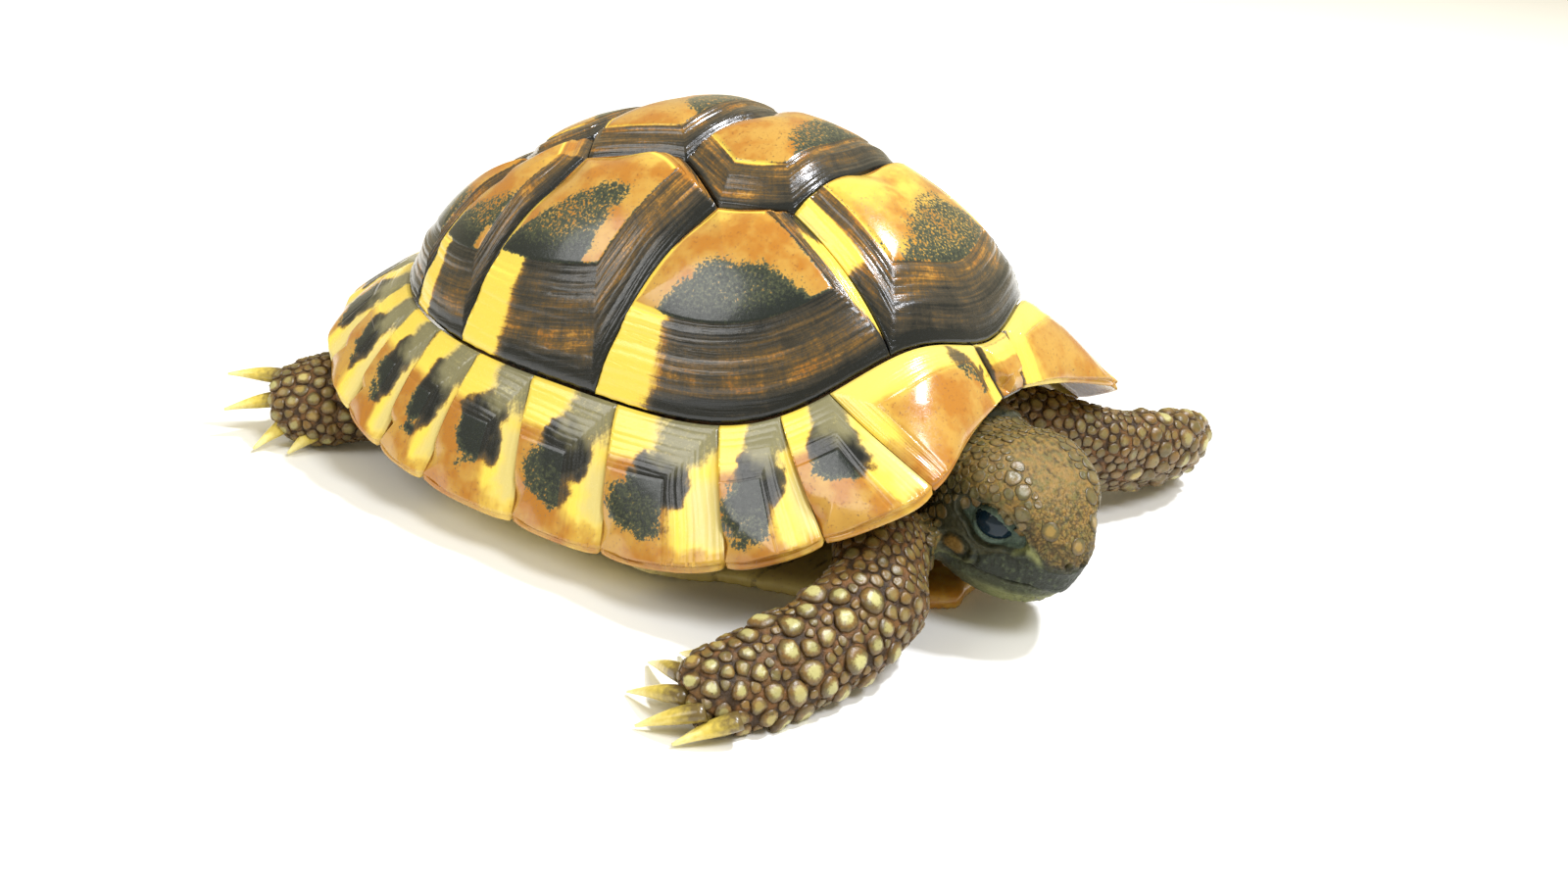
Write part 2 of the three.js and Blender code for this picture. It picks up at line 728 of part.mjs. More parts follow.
// The whole head with both jaws, along its own axis: the snout is at 0 and the nape at +Y.
function headSolid(grow = 0) {
  const halfWidth = profile(head.halfWidth);
  const above = profile(head.above);
  const below = profile(head.below);
  const places = [0, 0.4, 1, 1.8, 3, 4.5, 6, 8, 10, 12, 14.5, 17, 19.5, 22];
  const sides = 20;
  const ringAt = (place, shrink, shift) =>
    Array.from({ length: sides }, (_, i) => {
      const turn = (2 * Math.PI * i) / sides;
      const flat = 2 / head.squareness;
      const rise = Math.sin(turn) > 0 ? above(place) : below(place);
      const x = (halfWidth(place) * shrink + grow) * signedPower(Math.cos(turn), flat);
      const z = (rise * shrink + grow) * signedPower(Math.sin(turn), flat);
      return new THREE.Vector3(x, place + shift, z);
    });
  const rings = places.map((place) => ringAt(place, 1, place === 0 ? -grow : 0));
  const nape = places[places.length - 1];
  rings.push(ringAt(nape, head.nape.shrink, head.nape.reach + grow));
  const snoutPole = new THREE.Vector3(0, -0.3 - grow, -0.9);
  return loft(rings, snoutPole, new THREE.Vector3(0, nape + head.nape.pole + grow, 0));
}

// The block of space that the lower jaw fills, from its side outline.
function jawSpace(outwards) {
  const outline = insetOutline(head.jaw.map(([forward, up]) => [-forward, up]), -outwards);
  const shape = new THREE.Shape(outline.map(([y, z]) => new THREE.Vector2(y, z)));
  const block = new THREE.ExtrudeGeometry(shape, { depth: 24, bevelEnabled: false });
  block.translate(0, 0, -12);
  block.applyMatrix4(new THREE.Matrix4().makeBasis(vector([0, 1, 0]), vector([0, 0, 1]), vector([1, 0, 0])));
  return toSolid(block);
}

function eyeBall(side, grow) {
  const { side: across, back, up, radius } = head.eye;
  const ball = new THREE.SphereGeometry(radius + grow, 12, 8);
  ball.rotateZ(Math.PI / 2);
  ball.translate(side * across, back, up);
  return ball;
}

// ---------------------------------------------------------------- assembly

const animal = new THREE.Group();

function add(name, geometry, material) {
  const mesh = new THREE.Mesh(geometry, material);
  mesh.name = name;
  animal.add(mesh);
}

const sides = [
  ['right', -1],
  ['left', 1],
];

for (let i = 0; i < 5; i += 1) {
  add(`vertebral_${i + 1}`, scute(vertebralOutline(i), [0, vertebralPoles[i]]), scuteHorn);
}
for (const [label, side] of sides) {
  for (let i = 0; i < 4; i += 1) {
    const turn = (points) => (side < 0 ? mirrored(points) : points);
    add(`pleural_${label}_${i + 1}`, scute(turn(pleuralOutline(i)), turn([pleuralPoles[i]])[0]), scuteHorn);
  }
  add(`marginals_${label}`, rim(side), marginalHorn);
}
add('nuchal', nuchal(), marginalHorn);
add('supracaudal', supracaudal(), marginalHorn);
add('plastron', plastronSolid(), plastronHorn);
add('trunk', trunkSolid(0), skin);

const trunkCutter = toSolid(trunkSolid(gap));
const floorCutter = toSolid(new THREE.BoxGeometry(300, 300, 60).translate(0, 0, -30));

// A leg is cut by the trunk and the floor, and holds a socket for each claw.
function addLeg(name, leg, clawHalfWidth) {
  const side = Math.sign(leg.stations[0].at[0]);
  let solid = toSolid(limb(leg)).subtract(trunkCutter).subtract(floorCutter);
  solid = solid.subtract(toSolid(rim(side, gap)));
  leg.claws.forEach((place, i) => {
    solid = solid.subtract(toSolid(claw(place, clawHalfWidth, gap)));
    add(`claw_${name}_${i + 1}`, claw(place, clawHalfWidth), clawHorn);
  });
  add(name, toGeometry(solid), skin);
}

addLeg('foreleg_right', rightForeleg, clawHalf.fore);
addLeg('foreleg_left', leftForeleg, clawHalf.fore);
addLeg('hindleg_right', rightHindLeg, clawHalf.hind);
addLeg('hindleg_left', leftHindLeg, clawHalf.hind);

const spurSpace = toSolid(claw(tail.spur, tail.spur.half, gap));
add('tail', toGeometry(toSolid(limb(tail, 0, 12, 8)).subtract(trunkCutter).subtract(spurSpace)), skin);
add('tail_spur', claw(tail.spur, tail.spur.half), clawHorn);

const inPlace = (geometry) => geometry.applyMatrix4(headPlace);
const headCutter = toSolid(inPlace(headSolid(gap)));
let neckSolid = toSolid(limb(neck, 0, 16, 6)).subtract(trunkCutter).subtract(headCutter);
for (const leg of [rightForeleg, leftForeleg]) {
  neckSolid = neckSolid.subtract(toSolid(limb(leg, gap)));
}
add('neck', toGeometry(neckSolid), skin);

let skull = toSolid(headSolid());
const lowerJaw = skull.intersect(jawSpace(-gap / 2));
skull = skull.subtract(jawSpace(gap / 2));
for (const [label, side] of sides) {
  skull = skull.subtract(toSolid(eyeBall(side, gap)));
  add(`eye_${label}`, inPlace(eyeBall(side, 0)), eyeGloss);
}
add('head', inPlace(toGeometry(skull)), crownSkin);
add('lower_jaw', inPlace(toGeometry(lowerJaw)), beakHorn);

export default animal;
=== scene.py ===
# A young Hermann's tortoise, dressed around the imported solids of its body.
import math
import random

import bmesh
import bpy
import numpy as np
from mathutils import Matrix, Quaternion, Vector, noise
from mathutils.bvhtree import BVHTree
from mathutils.kdtree import KDTree


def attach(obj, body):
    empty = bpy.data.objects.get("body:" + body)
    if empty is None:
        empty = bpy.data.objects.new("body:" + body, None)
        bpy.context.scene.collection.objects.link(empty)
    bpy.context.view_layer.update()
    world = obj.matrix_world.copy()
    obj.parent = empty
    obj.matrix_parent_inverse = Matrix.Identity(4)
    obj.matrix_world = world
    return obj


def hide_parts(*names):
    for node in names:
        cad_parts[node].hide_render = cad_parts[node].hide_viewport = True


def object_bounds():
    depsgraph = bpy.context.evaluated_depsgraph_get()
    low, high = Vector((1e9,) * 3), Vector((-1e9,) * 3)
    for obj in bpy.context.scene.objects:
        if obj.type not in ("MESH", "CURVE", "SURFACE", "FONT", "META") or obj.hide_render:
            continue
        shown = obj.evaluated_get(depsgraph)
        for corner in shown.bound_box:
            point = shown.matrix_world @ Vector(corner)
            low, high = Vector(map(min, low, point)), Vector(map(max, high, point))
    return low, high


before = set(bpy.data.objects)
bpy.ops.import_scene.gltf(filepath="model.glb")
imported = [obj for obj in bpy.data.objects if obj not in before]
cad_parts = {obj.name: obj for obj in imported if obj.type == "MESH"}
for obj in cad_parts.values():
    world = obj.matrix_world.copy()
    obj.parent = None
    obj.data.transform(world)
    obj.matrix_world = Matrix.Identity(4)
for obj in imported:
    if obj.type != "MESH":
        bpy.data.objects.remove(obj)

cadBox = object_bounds()
mm = 0.001  # shapes are worked out in millimetres and finished in metres

# camera, floor and light

view = {"azimuth": -57.28, "elevation": 23.45, "roll": 6.32, "lens": 38.25,
        "distance": 0.2522, "target": Vector((0.01976, 0.00134, -0.002))}


def buildCamera():
    az, el = math.radians(view["azimuth"]), math.radians(view["elevation"])
    back = Vector((math.sin(az) * math.cos(el), -math.cos(az) * math.cos(el), math.sin(el)))
    camera = bpy.data.objects.new("camera", bpy.data.cameras.new("camera"))
    camera.data.lens = view["lens"]
    camera.data.sensor_width = 36
    camera.data.clip_start = 0.01
    camera.location = view["target"] + back * view["distance"]
    camera.rotation_mode = "QUATERNION"
    lean = Quaternion((0, 0, 1), math.radians(view["roll"]))
    camera.rotation_quaternion = back.to_track_quat("Z", "Y") @ lean
    bpy.context.collection.objects.link(camera)
    bpy.context.scene.camera = camera


def linear(hexColour):
    channels = [int(hexColour[i:i + 2], 16) / 255 for i in (1, 3, 5)]
    return [c / 12.92 if c <= 0.04045 else ((c + 0.055) / 1.055) ** 2.4 for c in channels] + [1.0]


studio = {"floorSize": 3.0, "floor": "#F6F6F4", "sky": "#FFF2CC", "skyStrength": 0.62,
          # place, size, power and colour of each lamp
          "soft": [((-0.10, -0.50, 0.80), 0.30, 4.6, "#F2F6FF"), ((0.28, -0.24, 0.74), 0.085, 6.0, "#F6F8FF"),
                   ((-0.60, 0.30, 0.60), 0.50, 2.5, "#FFFFFF")]}


def buildStudio():
    bm = bmesh.new()
    bmesh.ops.create_grid(bm, x_segments=1, y_segments=1, size=studio["floorSize"] / 2)
    mesh = bpy.data.meshes.new("floor")
    bm.to_mesh(mesh)
    bm.free()
    floor = bpy.data.objects.new("floor", mesh)
    bpy.context.collection.objects.link(floor)
    paper = bpy.data.materials.new("matt white paper")
    paper.use_nodes = True
    shader = paper.node_tree.nodes["Principled BSDF"]  # smooth uncoated paper, bright and without a shine
    shader.inputs["Base Color"].default_value = linear(studio["floor"])
    shader.inputs["Roughness"].default_value = 0.9
    mesh.materials.append(paper)

    world = bpy.data.worlds.new("soft white room")
    world.use_nodes = True
    world.node_tree.nodes["Background"].inputs["Color"].default_value = linear(studio["sky"])
    world.node_tree.nodes["Background"].inputs["Strength"].default_value = studio["skyStrength"]
    bpy.context.scene.world = world
    # plain sRGB output keeps the colours strong and the white floor white
    bpy.context.scene.view_settings.view_transform = "Standard"
    for place, size, power, tint in studio["soft"]:
        lamp = bpy.data.lights.new("softbox", "AREA")
        lamp.color = linear(tint)[:3]
        lamp.shape = "DISK"
        lamp.size = size
        lamp.energy = power
        holder = bpy.data.objects.new("softbox", lamp)
        holder.location = place
        holder.rotation_euler = (-Vector(place)).to_track_quat("-Z", "Y").to_euler()
        bpy.context.collection.objects.link(holder)


# small tools

# settings that many shader nodes share
smoothly, mixColours = {"interpolation_type": "SMOOTHSTEP"}, {"data_type": "RGBA"}
multiply, multiplyAdd, plus = [{"operation": name} for name in ("MULTIPLY", "MULTIPLY_ADD", "ADD")]


def addNode(tree, kind, settings=None, inputs=None):
    # an input's value is a constant or the output that is linked to it
    node = tree.nodes.new("ShaderNode" + kind)
    for name, value in (settings or {}).items():
        setattr(node, name, value)
    for name, value in (inputs or {}).items():
        if isinstance(value, bpy.types.NodeSocket):
            tree.links.new(value, node.inputs[name])
        else:
            node.inputs[name].default_value = value
    return node


def newMaterial(name):
    material = bpy.data.materials.new(name)
    material.use_nodes = True
    tree = material.node_tree
    return material, tree, tree.nodes["Principled BSDF"]


def finishPiece(name, bm, material, replaced=()):
    # one mesh in metres, at the origin, on the one body that the row has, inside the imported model's box
    low, high = [[value / mm for value in corner] for corner in cadBox]
    for vert in bm.verts:
        vert.co = [min(max(value, least), most) for value, least, most in zip(vert.co, low, high)]
    bmesh.ops.scale(bm, vec=(mm, mm, mm), verts=bm.verts)
    for face in bm.faces:
        face.smooth = True
    mesh = bpy.data.meshes.new(name)
    bm.to_mesh(mesh)
    bm.free()
    piece = bpy.data.objects.new(name, mesh)
    bpy.context.collection.objects.link(piece)
    mesh.materials.append(material)
    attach(piece, "root")
    if replaced:
        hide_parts(*replaced)


def camelName(name):
    first, *rest = name.split("_")
    return first + "".join(word.capitalize() for word in rest)


def allPoints(bm):
    return np.array([v.co for v in bm.verts])


def allNormals(bm):
    bm.normal_update()
    return np.array([v.normal for v in bm.verts])


def smoothed(bm, times):
    axes = {"use_axis_x": True, "use_axis_y": True, "use_axis_z": True}
    for _ in range(times):
        bmesh.ops.smooth_vert(bm, verts=bm.verts, factor=0.5, **axes)


def bell(value, centre, width):
    # 1 at the centre, falling to both sides
    return np.exp(-((value - centre) / width) ** 2)


def step(value, low, high):
    # a soft step from 0 to 1
    share = np.clip((value - low) / (high - low), 0, 1)
    return share * share * (3 - 2 * share)


# the carapace's surface, in millimetres

middleY = 3.4
widening = 0.06
seamRing = {"half": 32.6, "front": 39.6, "rear": 38.6, "squareFront": 3.3, "squareRear": 2.7,
            "sideZ": 21.6, "frontZ": 35.8, "rearZ": 25.2, "riseFront": 5.8, "riseRear": 2.1}
edgeRing = {"half": 40.1, "front": 51.6, "rear": 48.6, "squareFront": 3.8, "squareRear": 2.8,
            "sideZ": 6.1, "frontZ": 23.2, "rearZ": 18.2, "riseFront": 3.2, "riseRear": 2.2}
browDip = {"forward": 3.3, "down": 4.7, "width": 19.5}
neckNotch = {"back": 4.5, "up": 2.6, "width": 23}
frontFlare = {"out": 2.3, "at": 27, "width": 7.3}
dome = {"apexY": -0.8, "apexZ": 50.4, "reach": 0.89, "power": 1.87, "root": 1.96}


def ringPoint(ring, bearing):
    across, along = np.sin(np.radians(bearing)), -np.cos(np.radians(bearing))

    def pick(front, rear):
        return np.where(along < 0, ring[front], ring[rear])

    length, square = pick("front", "rear"), pick("squareFront", "squareRear")
    radius = (np.abs(across / ring["half"]) ** square + np.abs(along / length) ** square) ** (-1 / square)
    y = radius * along
    rise = np.abs(y / length) ** pick("riseFront", "riseRear")
    z = ring["sideZ"] + (pick("frontZ", "rearZ") - ring["sideZ"]) * rise
    return np.stack([radius * across * (1 + widening * (y + middleY) / ring["front"]), y + middleY, z], -1)


def wrapped(bearing):
    return np.where(bearing > 180, bearing - 360, bearing)


def seamPoint(bearing):
    point = ringPoint(seamRing, bearing)
    dip = bell(wrapped(bearing), 0, browDip["width"])
    point[..., 1] -= browDip["forward"] * dip
    point[..., 2] -= browDip["down"] * dip
    return point


def edgePoint(bearing):
    point = ringPoint(edgeRing, bearing)
    turned = wrapped(bearing)
    notch = bell(turned, 0, neckNotch["width"])
    flare = frontFlare["out"] * bell(np.abs(turned), frontFlare["at"], frontFlare["width"])
    radius = np.hypot(point[..., 0], point[..., 1])
    point[..., 0] += point[..., 0] / radius * flare
    point[..., 1] += point[..., 1] / radius * flare + neckNotch["back"] * notch
    point[..., 2] += neckNotch["up"] * notch
    return point


def domeFall(radius):
    return (1 - np.minimum(dome["reach"] * radius, 1) ** dome["power"]) ** (1 / dome["root"])


def domeSkin(across, along):
    radius = np.hypot(across, along)
    ring = seamPoint(np.degrees(np.arctan2(across, -along)))
    height = (domeFall(radius) - domeFall(1)) / (1 - domeFall(1))
    return np.stack([ring[..., 0] * radius, dome["apexY"] * (1 - radius) + ring[..., 1] * radius,
                     ring[..., 2] + (dome["apexZ"] - ring[..., 2]) * height], -1)


def bandSkin(bearing, t):
    return seamPoint(bearing) * (1 - t)[..., None] + edgePoint(bearing) * t[..., None]


def raised(surface, a, b, stepA, stepB, height):
    # the surface's point, raised along its outward normal
    alongA = surface(a + stepA, b) - surface(a - stepA, b)
    alongB = surface(a, b + stepB) - surface(a, b - stepB)
    normal = np.cross(alongA, alongB)
    normal /= np.linalg.norm(normal, axis=-1, keepdims=True)
    point = surface(a, b)
    outward = np.where((normal * (point * [1, 1, 0] + [0, 0, 12])).sum(-1) < 0, -1, 1)
    return point + normal * (outward * height)[..., None]


def domePoint(chart, height, outwards):
    return raised(domeSkin, chart[:, 0], chart[:, 1], 0.004, 0.004, height)


# horn plates: each one grows from its areola to its seams

plateRows = {"areola": 20, "growth": 56, "wall": 6, "inner": 3}
# full: millimetres of growth at which the rings stand at their full height
growthRings = {"count": 9, "height": 0.16, "swell": 0.12, "full": 2.5, "border": 0.12, "groove": 0.24,
               "grooveWide": 0.45}


def sampledOutline(corners, count):
    # evenly spaced points on a closed outline, each with its side and place on it
    sides = [math.dist(corners[i], corners[(i + 1) % len(corners)]) for i in range(len(corners))]
    points, turns = [], []
    whole = sum(sides)
    shares = [max(2, round(count * side / whole)) for side in sides]
    shares[shares.index(max(shares))] += count - sum(shares)
    for i, pieces in enumerate(shares):
        start, end = np.array(corners[i]), np.array(corners[(i + 1) % len(corners)])
        for k in range(pieces):
            points.append(start + (end - start) * k / pieces)
            turns.append(i + k / pieces)
    return np.array(points), np.array(turns)


def ringRelief(growth, width, bend, wave, rough):
    # growth rings, the step round the areola and the groove along the seam
    rings = growthRings
    strength = np.clip(width / rings["full"], 0.1, 1) * rough
    phase = rings["count"] * growth ** 0.92 + bend * 0.5
    ridge = np.abs(np.sin(math.pi * phase)) ** 0.6 - 0.6
    uneven = np.array([0.55 + noise.noise(Vector((math.floor(p), wave, 0.5))) for p in np.arange(-2, 14)])
    ridge = ridge * uneven[np.floor(phase).astype(int) + 2]
    swell = np.sin(math.pi * (phase * 0.42 + wave))
    zone = step(growth, 0, 0.06) * (1 - step(growth, 0.94, 1))
    raisedRings = zone * (rings["height"] * ridge + rings["swell"] * swell)
    border = rings["border"] * bell(growth, 0.02, 0.035) * (growth > 0)
    groove = rings["groove"] * step(growth, 1 - rings["grooveWide"] / np.maximum(width, 0.9), 1)
    return strength * (raisedRings - border) - groove


def plate(name, shape, place, depth, paint, replaced):
    # the shape's anchor is what the areola keeps close to, grown its share of the plate, roll how far each
    # edge point rounds out, wave what sets the rings apart and rough how strong they are
    outline, anchor, wave, rows = shape["outline"], shape["anchor"], shape["wave"], plateRows
    count, total = len(outline), sum(rows.values())
    areola = anchor + (outline - anchor) * shape["grown"]
    pole = areola.mean(0)
    ratio = np.linalg.norm(areola - pole, axis=1) / np.linalg.norm(outline - pole, axis=1)
    bm = bmesh.new()
    bmesh.ops.create_grid(bm, x_segments=count, y_segments=total, size=0.5)
    flat = np.array([v.co[:2] for v in bm.verts])
    i = np.rint((flat[:, 0] + 0.5) * count).astype(int) % count
    j = np.rint((flat[:, 1] + 0.5) * total)
    # shares of the way through the areola, the growth zone, the rounded wall and the closed back
    beyond = j > rows["areola"]
    inside = np.clip(j / rows["areola"], 0, 1)
    growth = np.clip((j - rows["areola"]) / rows["growth"], 0, 1)
    wall = np.clip((j - rows["areola"] - rows["growth"]) / rows["wall"], 0, 1)
    inner = np.clip((j - total + rows["inner"]) / rows["inner"], 0, 1)
    chart = pole + (areola[i] - pole) * inside[:, None]
    chart = np.where(beyond[:, None], areola[i] + (outline[i] - areola[i]) * growth[:, None], chart)
    chart = chart + (pole - chart) * inner[:, None]
    share = np.where(beyond, ratio[i] + (1 - ratio[i]) * growth, ratio[i] * inside)
    level = np.zeros(count)
    border = place(outline, level, level)
    width = np.linalg.norm(border - place(areola, level, level), axis=1)[i]
    bend = np.array([noise.noise(Vector(p) * 0.12 + Vector((wave, 0, 0))) for p in border])[i]
    height = shape["relief"] * (1 - share ** 2.5) + ringRelief(growth, width, bend, wave, shape["rough"])
    turn = wall * math.pi
    under = height * (1 + np.cos(turn)) / 2 - depth(chart) * (1 - np.cos(turn)) / 2
    height = np.where(wall > 0, under, height)
    outwards = np.where((wall > 0) & (inner == 0), np.sin(turn), 0) * shape["roll"][i]
    position = place(chart, height, outwards)
    probe = place(np.array([pole, pole + [0.01, 0], pole + [0, 0.01]]), level[:3], level[:3])
    local = (chart - pole) * np.linalg.norm(probe[1:] - probe[0], axis=1) / 0.01
    colours = paint(local, shape["turns"][i], np.where(beyond, growth, inside - 1), width)
    layers = bm.verts.layers
    streak, pigment, grown = [layers.float_vector.new(title) for title in ("streak", "pigment", "growth")]
    breakup = layers.float.new("breakup")
    for k, vert in enumerate(bm.verts):
        vert.co = position[k]
        vert[streak] = border[i[k]]
        vert[pigment] = colours[k]
        vert[grown] = (growth[k], width[k] * growth[k], wave)
        vert[breakup] = shape["rough"]
    bmesh.ops.remove_doubles(bm, verts=bm.verts, dist=0.002)
    bmesh.ops.recalc_face_normals(bm, faces=bm.faces)
    finishPiece(name, bm, hornMaterial, replaced)


vertebralCorners = [(0.333, -0.459), (0.394, -0.047), (0.285, 0.361), (0.268, 0.643)]
pleuralCorners = [(0.463, -0.284), (0.41, 0.31), (0.357, 0.533)]
pleuralBearings = [24.5, 76.5, 114, 132, 158]


def ringArc(start, end):
    steps = max(2, round(abs(end - start) / 4))
    turns = [math.radians(start + (end - start) * i / steps) for i in range(steps + 1)]
    return [(math.sin(turn), -math.cos(turn)) for turn in turns]


def flipped(points):
    return [(-x, y) for x, y in points]


def vertebralOutline(index):
    front, hind = vertebralCorners[max(index - 1, 0)], vertebralCorners[min(index, 3)]
    if index == 0:
        return ringArc(-pleuralBearings[0], pleuralBearings[0]) + [hind] + flipped([hind])
    if index == 4:
        return [hind] + ringArc(pleuralBearings[4], 360 - pleuralBearings[4]) + flipped([hind])
    half = [front, pleuralCorners[index - 1], hind]
    return half + flipped(half)[::-1]


def pleuralOutline(index):
    v, p = vertebralCorners, pleuralCorners
    shared = [[v[0], p[0]], [p[0], v[1], p[1]], [p[1], v[2], p[2]], [p[2], v[3]]][index]
    return shared + ringArc(pleuralBearings[index + 1], pleuralBearings[index])


# pigment: dark melanin, yellow and pale shares of each point of a plate

def sideTurns(turns, counts):
    # places along an outline whose sides are made of several stretches: side number plus share of it
    result, start = np.zeros(len(turns)), 0
    for side, pieces in enumerate(counts):
        on = (turns >= start) & (turns < start + pieces)
        result[on] = side + (turns[on] - start) / pieces
        start += pieces
    return result


def blot(a, b, centre, radii, lean=0.0):
    # a soft round patch, 1 in its middle
    turn = math.radians(lean)
    x, y = a - centre[0], b - centre[1]
    x, y = x * math.cos(turn) + y * math.sin(turn), y * math.cos(turn) - x * math.sin(turn)
    return 1 - step(np.hypot(x / radii[0], y / radii[1]), 0.55, 1.25)


def wavering(points, size, seed):
    # a slow uneven field, about -1 to 1, that breaks up the edge of every marking
    return np.array([noise.fractal(Vector((p[0] / size, p[1] / size, seed)), 0.8, 2.0, 3) for p in points])


def spans(local, inside):
    # each point's place in the box round the areola, 0 to 1 both ways
    low, high = local[inside].min(0), local[inside].max(0)
    return ((local - low) / (high - low)).T


# the blotch on each areola: its middle, top, how fast its sides fall, its lean and its hollow core; bar and
# strip: shares of the lower and the front seam zone that stay yellow
pleuralMarks = [
    {"middle": 0.45, "top": 0.5, "fall": 2.3, "lean": 0.0, "core": 0.08, "bar": 0.76, "strip": 1.0},
    {"middle": 0.46, "top": 0.34, "fall": 3.2, "lean": 0.36, "core": 0.22, "bar": 0.7, "strip": 0.0},
    {"middle": 0.32, "top": 0.5, "fall": 3.4, "lean": 0.3, "core": 0.2, "bar": 0.7, "strip": 0.0},
    {"middle": 0.3, "top": 0.45, "fall": 3.0, "lean": 0.2, "core": 0.2, "bar": 0.7, "strip": 0.0},
]


def pleuralPaint(index, pole, topSides, arcSides):
    marks = pleuralMarks[index]
    down = pole / np.linalg.norm(pole)
    rear = np.array([-down[1], down[0]]) * (1 if down[0] > 0 else -1)

    def paint(local, turns, growth, width):
        side = sideTurns(turns, [topSides, 1, arcSides, 1])
        inside = growth < 0
        places = np.stack([local @ rear, local @ down], -1)
        waver = wavering(places, 3.2, index)
        u, v = spans(places, inside)
        u, v = u + 0.05 * waver, v + 0.07 * waver
        # stippled blotch on the lower areola, solid along its lower edge
        across = u - marks["middle"] - marks["lean"] * (v - 0.6)
        blotch = step(v - marks["top"] - marks["fall"] * across ** 2, -0.1, 0.14)
        hollow = marks["core"] * (1 - step(growth, -0.42, -0.16))
        spot = blotch * (0.74 - hollow) + 0.3 * blotch * step(growth, -0.26, -0.04) * step(v, 0.6, 0.75)
        top, back = side < 1, (side >= 1) & (side < 2)
        bottom, ahead = (side >= 2) & (side < 3), side >= 3
        toRear = np.where(bottom, 3 - side, np.where(back, 1.0, 0.0)) + 0.02 * waver
        bar = np.where(bottom, step(toRear, marks["bar"] - 0.06, marks["bar"] + 0.08), 0)
        bar = np.where(back, step(side - 1 + 0.03 * waver, 0.45, 0.6), bar)
        seam = step(growth, 0.76, 0.92)
        window = bell(growth, 0.66, 0.17) * step(waver, -0.35, 0.35)
        ground = 0.62 + 0.24 * bell(growth, 0.06, 0.12) - 0.16 * window + 0.42 * seam + 0.07 * waver
        dark = np.where(bottom, ground * (1 - bar), 0)
        dark = np.where(back, 0.5 * (1 - bar) * step(width, 0.9, 2.2), dark)
        high = side - 3
        front = 0.44 + 0.5 * step(growth, 0.45, 0.9) + 0.14 * (1 - high) + 0.06 * waver
        strip = marks["strip"] * step(growth, 0.32, 0.48) * (1 - step(high + 0.06 * waver, 0.6, 0.85))
        strip = strip * (1 - 0.8 * step(0.12 - high, 0, 0.1))
        dark = np.where(ahead, front * (1 - strip), dark)
        dark = np.where(top, 0.5 * step(growth, 0.2, 0.9) * step(width, 0.9, 2.2), dark)
        dark = np.where(inside, spot, dark)
        yellow = np.where(bottom | back, bar, 0)
        yellow = np.where(ahead, strip, yellow)
        rim = step(growth, 0.3, 0.7) * (1 - step(width, 1.0, 2.6))
        yellow = np.maximum(yellow, rim * (top | back) * 0.85)
        yellow = np.where(inside, 0.1 + 0.22 * step(0.35 - v, 0, 0.3) + 0.55 * step(growth, -0.1, -0.02)
                          * (top | back), yellow)
        return np.stack([np.clip(dark, 0, 1.1), yellow, growth * 0], -1)
    return paint


vertebralMarks = [
    {"reach": 0.6, "across": 0.1, "wide": 1.4, "strength": 0.5, "sideYellow": 1.0, "warm": 0.5},
    {"reach": 0.52, "across": 0.02, "wide": 4.0, "strength": 0.58, "sideYellow": 0.0, "warm": 0.2},
    {"reach": 0.5, "across": 0.0, "wide": 4.0, "strength": 0.55, "sideYellow": 0.0, "warm": 0.16},
    {"reach": 0.5, "across": 0.0, "wide": 4.0, "strength": 0.6, "sideYellow": 0.0, "warm": 0.12},
    {"reach": 0.4, "across": 0.0, "wide": 3.0, "strength": 0.6, "sideYellow": 0.55, "warm": 0.12},
]


def vertebralPaint(index):
    marks = vertebralMarks[index]

    def paint(local, turns, growth, width):
        x, y = local[:, 0], local[:, 1]
        inside = growth < 0
        waver = wavering(local, 3.5, index + 20)
        u, v = spans(local, inside)
        u, v = u + 0.08 * waver, v + 0.1 * waver
        # v falls to 0 at the front edge: the blotch lies over the front part of the areola
        blotch = step(marks["reach"] - v - marks["wide"] * (u - 0.5 - marks["across"]) ** 2, -0.1, 0.2)
        spot = marks["strength"] * blotch + 0.12 * blotch * step(growth, -0.2, -0.04)
        forwards = step(-y / np.maximum(np.abs(x), 0.5), 0.35, 0.8)
        seam = step(growth, 0.8, 0.93)
        sides = step(np.abs(x), 5, 8)
        hind = (1 - forwards) * step(y + waver, -4.5, -1.5)
        yellow = marks["sideYellow"] * sides * hind * step(growth, 0.42, 0.6)
        dark = 0.52 + 0.22 * forwards * step(growth, 0.2, 0.7) + 0.34 * seam + 0.12 * waver
        dark = dark * (1 - yellow) * step(width, 0.7, 1.8)
        dark = np.where(inside, spot, dark)
        line = 0.7 * bell(growth, 0.03, 0.05) * step(width, 1, 2) * (1 - forwards)
        warm = marks["warm"] * (0.55 + 0.6 * step(v, 0.5, 0.95) + 0.25 * waver)
        yellow = np.where(inside, warm, np.maximum(yellow, line))
        rim = step(growth, 0.3, 0.8) * (1 - step(width, 0.8, 1.8))
        yellow = np.maximum(yellow, 0.6 * rim)
        dark = np.where(inside, dark, dark * (1 - line))
        return np.stack([np.clip(dark, 0, 1.1), yellow, growth * 0], -1)
    return paint


